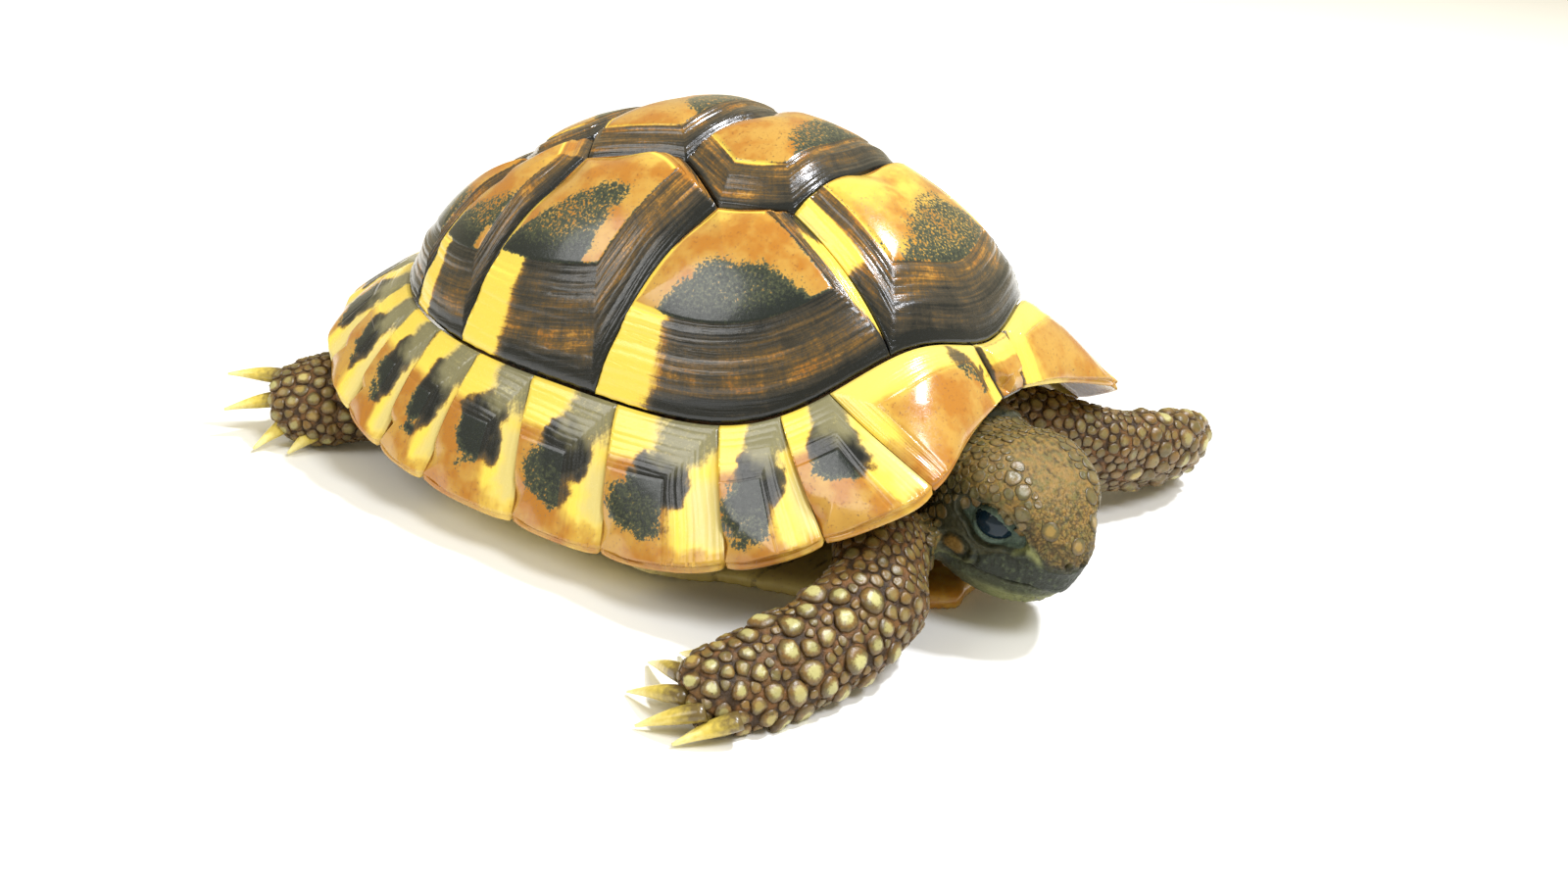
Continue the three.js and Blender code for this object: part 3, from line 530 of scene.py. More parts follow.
def marginalPaint(index, wide, high, side):
    # s runs from the front seam to the rear one, t from the upper seam to the free edge
    drift = noise.noise(Vector((index * 1.7, 3.1, 0.4 + side)))
    size = 1.0 + 0.35 * noise.noise(Vector((index * 2.3, 0.2 + side, 5.0)))

    def paint(local, turns, growth, width):
        inside = growth < 0
        places = local / [wide, high]
        places = places - places.min(0)
        slow, other = [wavering(local, 3.6, index + seed) for seed in (40, 90)]
        quick = wavering(local, 1.2, index + 70)
        s, t = places[:, 0] + 0.09 * slow + 0.03 * quick, places[:, 1] + 0.1 * other + 0.03 * quick
        rearSeam = bell(places[:, 0], 1.0, 0.05)
        # yellow grows in towards the front and upper seams, orange stays at the rear and the free edge
        young = np.maximum(1 - step(places[:, 0], 0.25, 0.6), 1 - step(places[:, 1], 0.25, 0.5))
        young = young * np.where(inside, step(growth, -0.22, 0.0) * 0.3, 0.3 + 0.7 * step(growth, 0.0, 0.4))
        if index <= 0:
            s, t = s / places[:, 0].max(), t / places[:, 1].max()
            places = places / places.max(0)
            # the foremost plates: yellow with a low orange areola, one dark strip beside the nuchal plate
            strip = blot(s, t, (0.2, 0.42), (0.11, 0.36), 8) * (index == 0 and side < 0)
            corner = blot(s, t, (0.95, 0.02), (0.2, 0.16)) * (index == 0 and side > 0)
            dark = np.maximum(0.5 * strip + 0.7 * corner, 0.55 * (1 - step(places[:, 0], 0.01, 0.045)))
            floor = 0.1
            if index < 0:
                young = 1 - step(places[:, 1] + 0.05 * slow, 0.36, 0.5)
                dark = 0.65 * step(growth, 0.6, 0.95) * step(places[:, 1], 0.02, 0.1)
                floor = 0.2
            return np.stack([dark, floor + (0.95 - floor) * young, 0.3 * young * step(0.4 - t, 0, 0.3)], -1)
        corner = (0.42 + 0.07 * drift, 0.45 + 0.06 * drift)
        blotch = blot(s, t, corner, (0.3 * size, 0.27 * size), 25)
        low = blot(s, t, (0.6, 0.66), (0.32 * size, 0.27 * size)) * (0.6 if index in (2, 3, 4, 11) else 0.0)
        smudge = blot(s, t, (0.2, 0.1), (0.36, 0.27), 30)
        strip = (1 - step(s, 0.1, 0.28)) * step(t, 0.3, 0.55)
        dark = np.maximum(blotch, np.maximum(low * 1.15, 0.5 * smudge)) * (1 - 0.9 * strip)
        dark = np.maximum(dark, 0.34 * rearSeam)
        edge = step(t, 0.86, 1.0)
        yellow = (0.1 + 0.8 * young) * (1 - 0.6 * edge)
        pale = np.where(inside, 0.35 * smudge, np.maximum(0.75 * strip * (1 - edge), smudge))
        return np.stack([np.clip(dark, 0, 1.1), np.clip(yellow, 0, 1), pale], -1)
    return paint


# horn: polished keratin, hard and slightly translucent, its gloss broken by growth lines

hornColours = {"orange": "#AD7226", "tan": "#BC9142", "yellow": "#EED256", "cream": "#CFC486",
               "rust": "#8F5A1E", "dots": "#754312", "brown": "#604A29", "umber": "#37322A",
               "black": "#0C1216", "olive": "#7D7040", "moss": "#3F4636", "slate": "#141E1F",
               "smoke": "#7F7B5C"}
# speckle and cloud are millimetres wide; ring, fibre and patch repeat so often in a millimetre
hornGrain = {"speckle": 0.36, "cloud": 5.0, "ring": 2.3, "fibre": 1.8, "patch": 0.25}


def hornFields(tree, streak, growth):
    # lines round the plate, fibres out across it and slow patches, all from the plate's own growth
    grain, fields = hornGrain, {}
    place = addNode(tree, "TexCoord").outputs["Object"]
    for name, along, outwards, detail in (("ring", 0.07, grain["ring"], 4.0),
                                          ("fibre", grain["fibre"], 0.1, 3.0),
                                          ("patch", grain["patch"], 0.3, 3.0)):
        spread = addNode(tree, "VectorMath", {"operation": "SCALE"}, {0: streak, "Scale": along})
        depth = addNode(tree, "Math", multiplyAdd, {0: growth[1], 1: outwards, 2: growth[2]})
        inputs = {"Vector": spread.outputs[0], "W": depth.outputs[0], "Scale": 1.0, "Detail": detail,
                  "Roughness": 0.62}
        fields[name] = addNode(tree, "TexNoise", {"noise_dimensions": "4D"}, inputs).outputs["Fac"]
    for name in ("speckle", "cloud"):
        inputs = {"Vector": place, "Scale": 1 / (grain[name] * mm), "Detail": 3.0, "Roughness": 0.6}
        fields[name] = addNode(tree, "TexNoise", None, inputs).outputs["Fac"]
    return fields


def hornMelanin(tree, painted, fields, breakup, colours):
    # melanin: the painted amount, broken up by the fields, and the shade it gives
    dark = {"areola": painted, "growth": painted}
    for part, field, weight in (("areola", "speckle", 1.5), ("areola", "cloud", 0.5),
                                ("growth", "speckle", 0.4), ("growth", "ring", 1.05),
                                ("growth", "fibre", 0.25), ("growth", "patch", 0.4)):
        offset = addNode(tree, "Math", multiplyAdd, {0: fields[field], 1: weight, 2: -weight / 2})
        if field == "ring":
            offset = addNode(tree, "Math", multiply, {0: offset.outputs[0], 1: breakup})
        dark[part] = addNode(tree, "Math", plus, {0: dark[part], 1: offset.outputs[0]}).outputs[0]
    shades = {}
    for part, stops in (("areola", ((0.3, "olive"), (0.52, "moss"), (0.85, "slate"))),
                        ("growth", ((0.28, "rust"), (0.46, "brown"), (0.66, "umber"), (0.92, "black")))):
        ramp = addNode(tree, "ValToRGB", inputs={"Fac": dark[part]})
        for position, _ in stops[1:-1]:
            ramp.color_ramp.elements.new(position)
        for element, (position, name) in zip(ramp.color_ramp.elements, stops):
            element.position, element.color = position, colours[name]
        shades[part] = ramp.outputs["Color"]
    return dark, shades


def buildHorn():
    material, tree, shader = newMaterial("polished keratin horn")
    colours = {name: linear(value) for name, value in hornColours.items()}
    read = {name: addNode(tree, "Attribute", {"attribute_name": name}).outputs["Vector"]
            for name in ("pigment", "streak", "growth")}
    pigment = addNode(tree, "SeparateXYZ", inputs={0: read["pigment"]}).outputs
    growth = addNode(tree, "SeparateXYZ", inputs={0: read["growth"]}).outputs
    breakup = addNode(tree, "Attribute", {"attribute_name": "breakup"}).outputs["Fac"]
    fields = hornFields(tree, read["streak"], growth)
    zone = addNode(tree, "Math", {"operation": "GREATER_THAN"}, {0: growth[1], 1: 0.001}).outputs[0]
    dark, shades = hornMelanin(tree, pigment[0], fields, breakup, colours)
    ranges = {}
    for name, value, low, high, top in (("warm", fields["cloud"], 0.38, 0.62, 1.0),
                                        ("dots", fields["speckle"], 0.57, 0.7, 0.75),
                                        ("areola", dark["areola"], 0.3, 0.44, 1.0),
                                        ("growth", dark["growth"], 0.14, 0.5, 1.0)):
        inputs = {"Value": value, "From Min": low, "From Max": high, "To Max": top}
        ranges[name] = addNode(tree, "MapRange", smoothly, inputs).outputs[0]
    yellow = addNode(tree, "Math", multiplyAdd, {0: fields["cloud"], 1: 0.5, 2: -0.25})
    yellow = addNode(tree, "Math", plus, {0: yellow.outputs[0], 1: pigment[1]})
    inputs = {"Value": yellow.outputs[0], "From Min": 0.15, "From Max": 0.75}
    yellow = addNode(tree, "MapRange", smoothly, inputs).outputs[0]
    dots = addNode(tree, "Math", multiplyAdd, {0: yellow, 1: -0.75, 2: 0.8}).outputs[0]
    dots = addNode(tree, "Math", multiply, {0: dots, 1: ranges["dots"]}).outputs[0]
    melanin = addNode(tree, "Mix", mixColours, {0: zone, 6: shades["areola"], 7: shades["growth"]})
    cover = addNode(tree, "Mix", {"data_type": "FLOAT"}, {0: zone, 2: ranges["areola"], 3: ranges["growth"]})
    smoky = addNode(tree, "Mix", mixColours, {0: pigment[2], 6: melanin.outputs[2], 7: colours["smoke"]})
    colour = colours["orange"]
    for share, layer in ((ranges["warm"], colours["tan"]), (yellow, colours["yellow"]),
                         (pigment[2], colours["cream"]), (dots, colours["dots"]),
                         (cover.outputs[0], smoky.outputs[2])):
        colour = addNode(tree, "Mix", mixColours, {0: share, 6: colour, 7: layer}).outputs[2]
    tree.links.new(colour, shader.inputs["Base Color"])
    inputs = {"Value": fields["speckle"], "From Min": 0.3, "From Max": 0.75, "To Min": 0.13, "To Max": 0.34}
    gloss = addNode(tree, "MapRange", None, inputs)
    tree.links.new(gloss.outputs[0], shader.inputs["Roughness"])
    lines = addNode(tree, "Math", multiply, {0: zone, 1: breakup}).outputs[0]
    lines = addNode(tree, "Math", multiply, {0: fields["ring"], 1: lines}).outputs[0]
    stipple = addNode(tree, "Math", multiply, {0: fields["speckle"], 1: 0.3}).outputs[0]
    height = addNode(tree, "Math", multiplyAdd, {0: lines, 1: 1.6, 2: stipple})
    bump = addNode(tree, "Bump", None, {"Strength": 0.4, "Distance": 0.00014, "Height": height.outputs[0]})
    tree.links.new(bump.outputs["Normal"], shader.inputs["Normal"])
    shader.inputs["IOR"].default_value = 1.5
    shader.inputs["Specular IOR Level"].default_value = 0.42
    shader.inputs["Coat Weight"].default_value = 0.35
    shader.inputs["Coat Roughness"].default_value = 0.09
    return material


hornMaterial = buildHorn()


# carapace

# grown: the areola's share of a plate; share: how much of its outline a plate fills; rear and corner: how
# close the areolas lie to the rear seam and to the corner they keep to
scute = {"points": 176, "grown": 0.66, "share": 0.995, "depth": 2.0, "relief": 1.85, "rear": 0.03,
         "corner": 0.06}


def scutePlate(name, corners, anchorOf, paintOf, replaced, wave):
    # anchorOf and paintOf give the areola's anchor and the plate's colours once its outline is known
    outline, turns = sampledOutline(corners, scute["points"])
    centre = outline.mean(0)
    outline = centre + (outline - centre) * scute["share"]
    anchor = anchorOf(outline)
    shape = {"outline": outline, "turns": turns, "anchor": anchor, "grown": scute["grown"],
             "relief": scute["relief"], "roll": np.zeros(len(outline)), "wave": wave, "rough": 1.0}
    pole = (anchor + (outline - anchor) * scute["grown"]).mean(0)
    plate(name, shape, domePoint, lambda chart: np.full(len(chart), scute["depth"]), paintOf(pole),
          replaced)


def buildCarapace():
    for index in range(5):
        corners = vertebralOutline(index)
        rear = np.array([0, max(y for _, y in corners) - scute["rear"]])
        scutePlate(f"vertebralScute{index + 1}", corners, lambda outline: rear,
                   lambda pole: vertebralPaint(index), [f"vertebral_{index + 1}"], index * 7.0)
    for side, label in ((-1, "right"), (1, "left")):
        for index in range(4):
            corners = pleuralOutline(index) if side > 0 else flipped(pleuralOutline(index))
            # the areola keeps close to the corner under the middle of the upper seam
            top = np.array(corners[1 if index in (0, 3) else 2])
            topSides = 2 if index in (1, 2) else 1
            scutePlate(f"pleuralScute{label.capitalize()}{index + 1}", corners,
                       lambda outline: top + (outline.mean(0) - top) * scute["corner"],
                       lambda pole: pleuralPaint(index, pole, topSides, len(corners) - topSides - 2),
                       [f"pleural_{label}_{index + 1}"], index * 7.0 + side * 50)


nuchalBearing = (5.5, 3.2)
# bearings of each seam at its upper and its lower end, from the front round to the rear
marginalSeams = [nuchalBearing, (34.8, 26), (41.9, 38.7), (51.2, 49.7), (70.9, 68.1), (92.6, 86.3),
                 (108, 107.3), (121, 118.5), (131, 128.5), (142, 139.5), (153, 151.5), (166, 164)]
marginal = {"high": 17.0, "start": 0.012, "scallop": 0.03, "roll": 0.035, "rough": 0.4, "points": 112,
            "gap": 0.12, "relief": 0.9,
            # where the areola lies, across and down, its share of the plate and how far it swells:
            # nuchal plate, foremost plates, all others
            "areolas": [(0.5, 0.96, 0.62, 1.7), (0.62, 0.985, 0.7, 1), (0.985, 0.985, 0.55, 1)]}


def marginalPlate(name, front, rear, side, index, replaced, wave):
    # index: -1 on the nuchal plate, then the place in the row
    wide = float(np.linalg.norm(edgePoint(np.array(side * front[1])) - edgePoint(np.array(side * rear[1]))))
    high = marginal["high"]

    def place(chart, height, outwards):
        s, t = chart[:, 0] / wide, chart[:, 1] / high
        scallop = marginal["scallop"] * (1 - (2 * s - 1) ** 4) * t ** 4
        t = marginal["start"] + (1 - marginal["start"]) * t + scallop + outwards * marginal["roll"]
        top = front[0] + (rear[0] - front[0]) * s
        edge = front[1] + (rear[1] - front[1]) * s
        bearing = side * (top + (edge - top) * t)
        return raised(bandSkin, bearing, t, 0.3, 0.01, height)

    outline, turns = sampledOutline([(0, 0), (wide, 0), (wide, high), (0, high)], marginal["points"])
    middle = np.array([wide / 2, high / 2])
    outline = middle + (outline - middle) * [1 - marginal["gap"] / wide, 1]
    across, down, grown, swollen = marginal["areolas"][min(index + 1, 2)]
    onEdge = (turns >= 2) & (turns < 3)
    shape = {"outline": outline, "turns": turns, "anchor": np.array([wide * across, high * down]),
             "grown": grown, "relief": marginal["relief"] * swollen, "roll": np.where(onEdge, 1.0, 0.0),
             "wave": wave, "rough": marginal["rough"]}
    plate(name, shape, place, lambda chart: 2 - 1.1 * chart[:, 1] / high,
          marginalPaint(index, wide, high, side), replaced)


def buildMarginals():
    for side, label in ((-1, "right"), (1, "left")):
        for index in range(11):
            marginalPlate(f"marginalScute{label.capitalize()}{index + 1}", marginalSeams[index],
                          marginalSeams[index + 1], side, index, [f"marginals_{label}"],
                          index * 3.3 + side * 90)
        # the plate over the tail is divided, as is usual in the species
        marginalPlate(f"supracaudalScute{label.capitalize()}", marginalSeams[-1], (180, 180), side, 11,
                      ["supracaudal"], 8.0 + side)
    nuchalEnd = (-nuchalBearing[0], -nuchalBearing[1])
    marginalPlate("nuchalScute", nuchalEnd, nuchalBearing, 1, -1, ["nuchal"], 5.0)


# skin: one closed hide over trunk, neck, head, jaw, legs and tail

fleshNodes = ["trunk", "neck", "head", "lower_jaw", "foreleg_right", "foreleg_left",
              "hindleg_right", "hindleg_left", "tail"]
hide = {"swell": 0.3, "voxel": 0.8, "smoothing": 9, "lift": -0.4, "headLift": 0.12}

# the head's own axis: x to its left, y back from the snout, z up
headAxis = {"snout": Vector((-10.6, -60.2, 11.9)), "yaw": 22, "pitch": 11, "roll": 1}
headPlace = (Matrix.Translation(headAxis["snout"]) @ Matrix.Rotation(math.radians(-headAxis["yaw"]), 4, "Z")
             @ Matrix.Rotation(math.radians(headAxis["pitch"]), 4, "X")
             @ Matrix.Rotation(math.radians(headAxis["roll"]), 4, "Y"))
headInverse = np.array(headPlace.inverted())
headForward = np.array(headPlace)
eye = {"place": Vector((5.7, 8.9, 1.25)), "radius": 2.7, "look": Vector((1, -0.55, 0.16)).normalized(),
       "slit": Vector((0.0, -1.0, -0.12)), "long": 2.5, "short": 1.34, "lid": 0.86, "flesh": 0.55}


def nodeCorners(name):
    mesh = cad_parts[name].data
    points = np.empty(len(mesh.vertices) * 3)
    mesh.vertices.foreach_get("co", points)
    return points.reshape(-1, 3) / mm


def eyeCentre(side):
    return Vector((side * eye["place"].x, eye["place"].y, eye["place"].z))


def joinedFlesh():
    bm = bmesh.new()
    for name in fleshNodes:
        part = bmesh.new()
        part.from_mesh(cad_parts[name].data)
        bmesh.ops.scale(part, vec=(1 / mm,) * 3, verts=part.verts)
        bmesh.ops.remove_doubles(part, verts=part.verts, dist=0.01)
        part.normal_update()
        for vert, normal in [(v, v.normal.copy()) for v in part.verts]:
            vert.co += normal * hide["swell"]
        mesh = bpy.data.meshes.new("part")
        part.to_mesh(mesh)
        part.free()
        bm.from_mesh(mesh)
        bpy.data.meshes.remove(mesh)
    for side in (-1, 1):
        place = Matrix.Translation(headPlace @ eyeCentre(side))
        bmesh.ops.create_icosphere(bm, subdivisions=3, radius=eye["radius"] + eye["flesh"], matrix=place)
    return bm


def remeshed(bm, voxel):
    mesh = bpy.data.meshes.new("remeshing")
    bm.to_mesh(mesh)
    bm.free()
    body = bpy.data.objects.new("remeshing", mesh)
    bpy.context.collection.objects.link(body)
    change = body.modifiers.new("remesh", "REMESH")
    change.mode = "VOXEL"
    change.voxel_size = voxel
    graph = bpy.context.evaluated_depsgraph_get()
    result = bmesh.new()
    result.from_mesh(body.evaluated_get(graph).to_mesh())
    bpy.data.objects.remove(body)
    bpy.data.meshes.remove(mesh)
    return result


def headSpace(points):
    return points @ headInverse[:3, :3].T + headInverse[:3, 3]


def fromHeadSpace(points):
    return points @ headForward[:3, :3].T + headForward[:3, 3]


def refine(bm, wanted):
    # one more cut across every face whose corners are all wanted
    chosen = wanted(allPoints(bm))
    bm.verts.index_update()
    edges = [e for e in bm.edges if chosen[e.verts[0].index] and chosen[e.verts[1].index]]
    bmesh.ops.subdivide_edges(bm, edges=edges, cuts=1, use_grid_fill=True)


def onHead(points, back=24.0):
    local = headSpace(points)
    return (local[:, 1] < back) & (np.abs(local[:, 0]) < 12) & (local[:, 2] > -12) & (local[:, 2] < 12)


def onLimbs(points):
    low = (np.abs(points[:, 0]) > 24) | (points[:, 1] < -32) | (points[:, 1] > 33)
    return low & (points[:, 2] < 30)


def onShownNeck(points):
    return (points[:, 1] < -36) & (np.abs(points[:, 0]) < 16) & (points[:, 2] > 4)


def eyeFrame(side):
    look = Vector((side * eye["look"].x, eye["look"].y, eye["look"].z))
    along = (eye["slit"] - look * eye["slit"].dot(look)).normalized()
    across = look.cross(along)
    return [np.array(vector) for vector in (eyeCentre(side), look, along, across)]


def nearEye(points, reach):
    local = headSpace(points)
    near = np.zeros(len(points), bool)
    for side in (-1, 1):
        centre, look, along, across = eyeFrame(side)
        away = local - centre
        near |= (np.hypot(away @ along, away @ across) < reach) & (away @ look > 0.5)
    return near


# mouth line and the upper border of the beak, along the head from the snout
mouth = {"back": [0, 1, 2.2, 4.6, 8.7, 11, 13], "height": [-5.1, -4.5, -4.1, -4.5, -4.5, -4.3, -5.0]}
beakTop = {"back": [0, 0.7, 2, 3.5, 5, 7, 9, 11.5], "height": [-1.1, -1.1, 0.1, 0.8, -0.7, -1.9, -2.9, -4.4]}
drum = {"back": 10.6, "up": -2.9, "long": 1.4, "tall": 1.15}


def cells(points, size, seed):
    # distance field of irregular cells: 0 on a crease, about 1 in a cell's middle
    field = np.empty(len(points))
    for k, p in enumerate(points):
        near, _ = noise.voronoi(Vector(p) / size + Vector((seed, seed * 0.7, 0)))
        field[k] = near[1] - near[0]
    return field


def waves(points, size, seed, depth=3):
    shift = Vector((seed, 0, seed))
    return np.array([noise.fractal(Vector(p) / size + shift, 0.9, 2.1, depth) for p in points])


def shapeLids(moved):
    # draws the lids up round each eye and marks their ring and the socket inside it, which is painted
    # near-black as shade
    ring, socket = np.zeros(len(moved)), np.zeros(len(moved))
    for side in (-1, 1):
        centre, look, along, across = eyeFrame(side)
        away = moved - centre
        a, b, h = away @ along, away @ across, away @ look
        taper = 1 - 0.22 * step(np.abs(a) / eye["long"], 0.4, 1.1)
        r = np.hypot(a / eye["long"], b / (eye["short"] * taper))
        here = (h > 0.2) & (r < 3.2)
        ball = np.sqrt(np.maximum(eye["radius"] ** 2 - a * a - b * b, 0.3))
        lidPlace = (r - 1) * (eye["long"] + eye["short"]) / 2 / eye["lid"]
        lid = ball + 0.12 + 0.5 * np.sqrt(np.clip(1 - (lidPlace * 1.1 - 0.75) ** 2, 0, 1))
        level = np.where(r < 1, ball - 0.35 * step(1 - r, 0, 0.1) - 0.05, lid)
        blend = 1 - step(lidPlace, 1.25, 2.4)
        groove = -0.2 * bell(lidPlace, 2.0, 0.35) - 0.15 * bell(lidPlace, 3.1, 0.35)
        groove = groove + 0.12 * bell(lidPlace, 2.55, 0.3)
        goal = h + (level - h) * blend + groove * (1 - step(lidPlace, 3.6, 4.2))
        moved = np.where(here[:, None], moved + look * (goal - h)[:, None], moved)
        ring = np.where(here, np.maximum(ring, 1 - step(lidPlace, 1.5, 2.1)), ring)
        # inside the lid ring the hide sinks under the eyeball: painted near-black, as painted shade between
        # lid and eye
        socket = np.where(here & (r < 0.96), 1, socket)
    return moved, ring, socket


def faceForms(local, normal):
    # how far bones and folds push the head's hide out, and where its parts lie
    side, y, z = np.abs(local[:, 0]), local[:, 1], local[:, 2]
    fade = 1 - step(y, 18, 25)
    line = np.interp(y, mouth["back"], mouth["height"])
    border = np.interp(y, beakTop["back"], beakTop["height"])
    onFace = normal[:, 2] < 0.6
    push = np.zeros(len(local))
    # mouth: a closed slit with the upper beak lapping over the lower jaw
    beakReach = 1 - step(y, 10.5, 12.5)
    push -= 0.75 * bell(z, line - 0.15, 0.26) * beakReach * onFace
    push += 0.3 * step(z - line, 0.0, 0.45) * (1 - step(z - line, 1.6, 3.4)) * (1 - step(y, 7, 11)) * onFace
    push -= 0.3 * (1 - step(z - line, -0.9, 0)) * step(z - line, -2.6, -1.2) * beakReach * onFace
    # the hooked middle of the upper beak
    push += 0.35 * bell(side, 0, 1.6) * bell(z, line + 0.5, 1.3) * (y < 3)
    # nostrils in a raised rim
    nose = np.hypot(side - 1.15, z + 0.15)
    push -= 0.9 * bell(nose, 0, 0.34) * (y < 3) * (normal[:, 1] < -0.3)
    push += 0.2 * bell(nose, 0.75, 0.3) * (y < 3) * (normal[:, 1] < -0.3)
    # brow over the eye, hollow before it, cheek
    push += 0.45 * np.exp(-((side - 5.6) / 1.3) ** 2 - ((y - 8.4) / 3.2) ** 2 - ((z - 5.7) / 1.2) ** 2)
    push -= 0.4 * np.exp(-((y - 4.2) / 1.5) ** 2 - ((z - 2.6) / 1.7) ** 2) * step(side, 1.8, 3.8)
    push += 0.3 * np.exp(-((y - 8.0) / 2.2) ** 2 - ((z + 3.4) / 1.4) ** 2) * step(side, 4, 6)
    push += 0.4 * np.exp(-((y - 7.5) / 4) ** 2 - ((z - 4) / 3) ** 2) * step(side, 1, 5)
    push += 0.35 * step(normal[:, 2], 0.1, 0.6) * step(y, 1, 5) * (1 - step(y, 12, 17))
    # the border of the beak stands a little proud of the skin
    beak = step(border - z, -0.15, 0.25) * step(z - line, -2.4, -2.0) * beakReach * onFace
    push += 0.08 * beak - 0.1 * bell(z, border + 0.15, 0.22) * beakReach * onFace
    # ear drum in its ring, with a curved fold below it
    ear = np.hypot((y - drum["back"]) / drum["long"], (z - drum["up"]) / drum["tall"])
    dish = 0.22 * (1 - step(ear, 0.5, 1)) - 0.4 * bell(ear, 1.15, 0.18) + 0.22 * bell(ear, 1.6, 0.22)
    push += dish * (side > 5)
    push -= 0.32 * bell(ear, 2.0, 0.18) * (side > 5) * (z < drum["up"] + 0.5)
    # folds from the jaw's corner round to the neck
    push -= 0.55 * bell(y + 0.45 * z, 13.6, 0.4) * (z < -1.5) * (side > 3)
    push -= 0.6 * bell(y + 0.35 * z, 16.2, 0.5) * (z < 1) * fade
    push -= 0.6 * bell(y + 0.2 * z, 19.3, 0.6) * (z < 3)
    # the closed mouth's line, later painted near-black: painted shade in the slit
    slit = bell(z, line - 0.15, 0.2) * (1 - step(y, 9.5, 11.5)) * onFace
    # crown: where the head faces up, painted lighter later, partly as painted light from above
    return push, {"fade": fade, "line": line, "border": border, "beak": beak, "ear": ear, "slit": slit,
                  "crown": step(normal[:, 2], 0.25, 0.6)}


def headSkin(local, normal, calm, marks, push):
    # worn shields of the crown, small cracked scales on the cheeks and nape; sinks their creases into push;
    # their paint is partly the skin's own dark and partly painted shade
    side, y, z = np.abs(local[:, 0]), local[:, 1], local[:, 2]
    warp = 0.5 * waves(local, 2.4, 2.0)
    big = cells(local * [1, 0.9, 1] + warp[:, None], 3.0, 3.0)
    small = cells(local + 0.4 * warp[:, None], 1.1, 9.0)
    fine = cells(local, 0.55, 5.0)
    wrinkle = waves(local, 0.7, 4.0)
    smooth = 1 - np.maximum(marks["beak"], (1 - step(marks["ear"], 0.8, 1.1)) * (side > 5))
    front = marks["crown"] * (1 - step(y, 9, 13))
    crease = (1 - step(small, 0.02, 0.22)) * (1 - 0.85 * front) + 0.55 * (1 - step(big, 0.01, 0.07)) * front
    snout = (1 - step(y, 3.5, 7)) * step(z - marks["border"], 0, 0.6)
    crease = np.maximum(crease * (0.7 + 0.3 * wrinkle), (0.3 + 0.45 * snout) * (1 - step(fine, 0.02, 0.3)))
    # long wandering cracks over the crown and nape, calmer skin on the cheeks
    cracks = bell(waves(local, 2.2, 12.0, 2), 0, 0.035)
    cracks = np.maximum(cracks, 0.7 * bell(waves(local, 1.2, 15.0, 2), 0, 0.04))
    cheek = (1 - step(z, 1.5, 3)) * step(y, 3, 5) * (1 - step(y, 12, 15)) * step(side, 2.5, 4.5)
    crease = np.maximum(crease, 0.8 * cracks * step(normal[:, 2], 0, 0.4)) * (1 - 0.55 * cheek)
    push -= (0.14 * crease + 0.03) * calm * smooth
    push += 0.12 * wrinkle * calm * (0.35 + 0.65 * smooth)
    push += 0.05 * waves(local * [1.6, 1.6, 0.5], 0.6, 8.0) * marks["beak"]
    # the mouth slit takes the near-black crease colour: painted shade
    crease = np.maximum(crease, marks["slit"])
    return np.maximum(crease * smooth * calm, marks["slit"]) * marks["fade"]


def sculptHead(bm):
    points, normals = allPoints(bm), allNormals(bm)
    chosen = np.flatnonzero(onHead(points, 26))
    local = headSpace(points[chosen])
    normal = normals[chosen] @ headInverse[:3, :3].T
    push, marks = faceForms(local, normal)
    calm = 1 - 0.8 * nearEye(points[chosen], 3.4)
    marks["crease"] = headSkin(local, normal, calm, marks, push)
    moved = local + normal * push[:, None]
    # the muzzle is blunt in front and narrow below
    y, below = local[:, 1], -local[:, 2]
    moved[:, 1] += 0.5 * (1 - step(y, 0, 5)) + 0.55 * (1 - step(y, 0, 4)) * step(below, 0.5, 3.5)
    moved[:, 0] *= 1 - 0.15 * (1 - step(y, 1, 7)) * step(below, 0, 3)
    moved, marks["ring"], marks["socket"] = shapeLids(moved)
    points[chosen] = points[chosen] + (fromHeadSpace(moved) - points[chosen]) * marks["fade"][:, None]
    for k in chosen:
        bm.verts[k].co = points[k]
    return chosen, local, marks


def headTones(local, marks):
    # how pale, how brown and how golden each point of the head is
    y, z = local[:, 1], local[:, 2]
    side = np.abs(local[:, 0])
    onSide = side > 5
    streak = bell(z, marks["border"] + 0.1, 0.55) * step(y, 1.0, 2.0) * (1 - step(y, 4.2, 5.0)) * (side > 1.5)
    pale = 0.85 * streak + 0.12 * step(marks["line"] - z, 0.3, 0.6) * (1 - step(y, 9, 12))
    pale += 0.6 * step(marks["line"] - z, 1.5, 2.5) * (1 - step(y, 5, 10))
    pale += 0.45 * bell(marks["ear"], 1.7, 0.22) * onSide * step(drum["up"] - z, 0, 0.8)
    tip = 0.6 * (1 - step(y, 3, 6)) * step(z - marks["border"], 0.2, 1.2)
    # the lighter crown colour goes where the head faces up, the dark cheek colour on its sides: partly the
    # head's own colours, partly painted light and painted shade
    brown = 0.28 + 0.3 * np.maximum(marks["crown"], tip)
    gold = 0.75 * (1 - step(marks["ear"], 0.7, 1.0)) * onSide
    return np.clip(pale, 0, 1), brown, gold


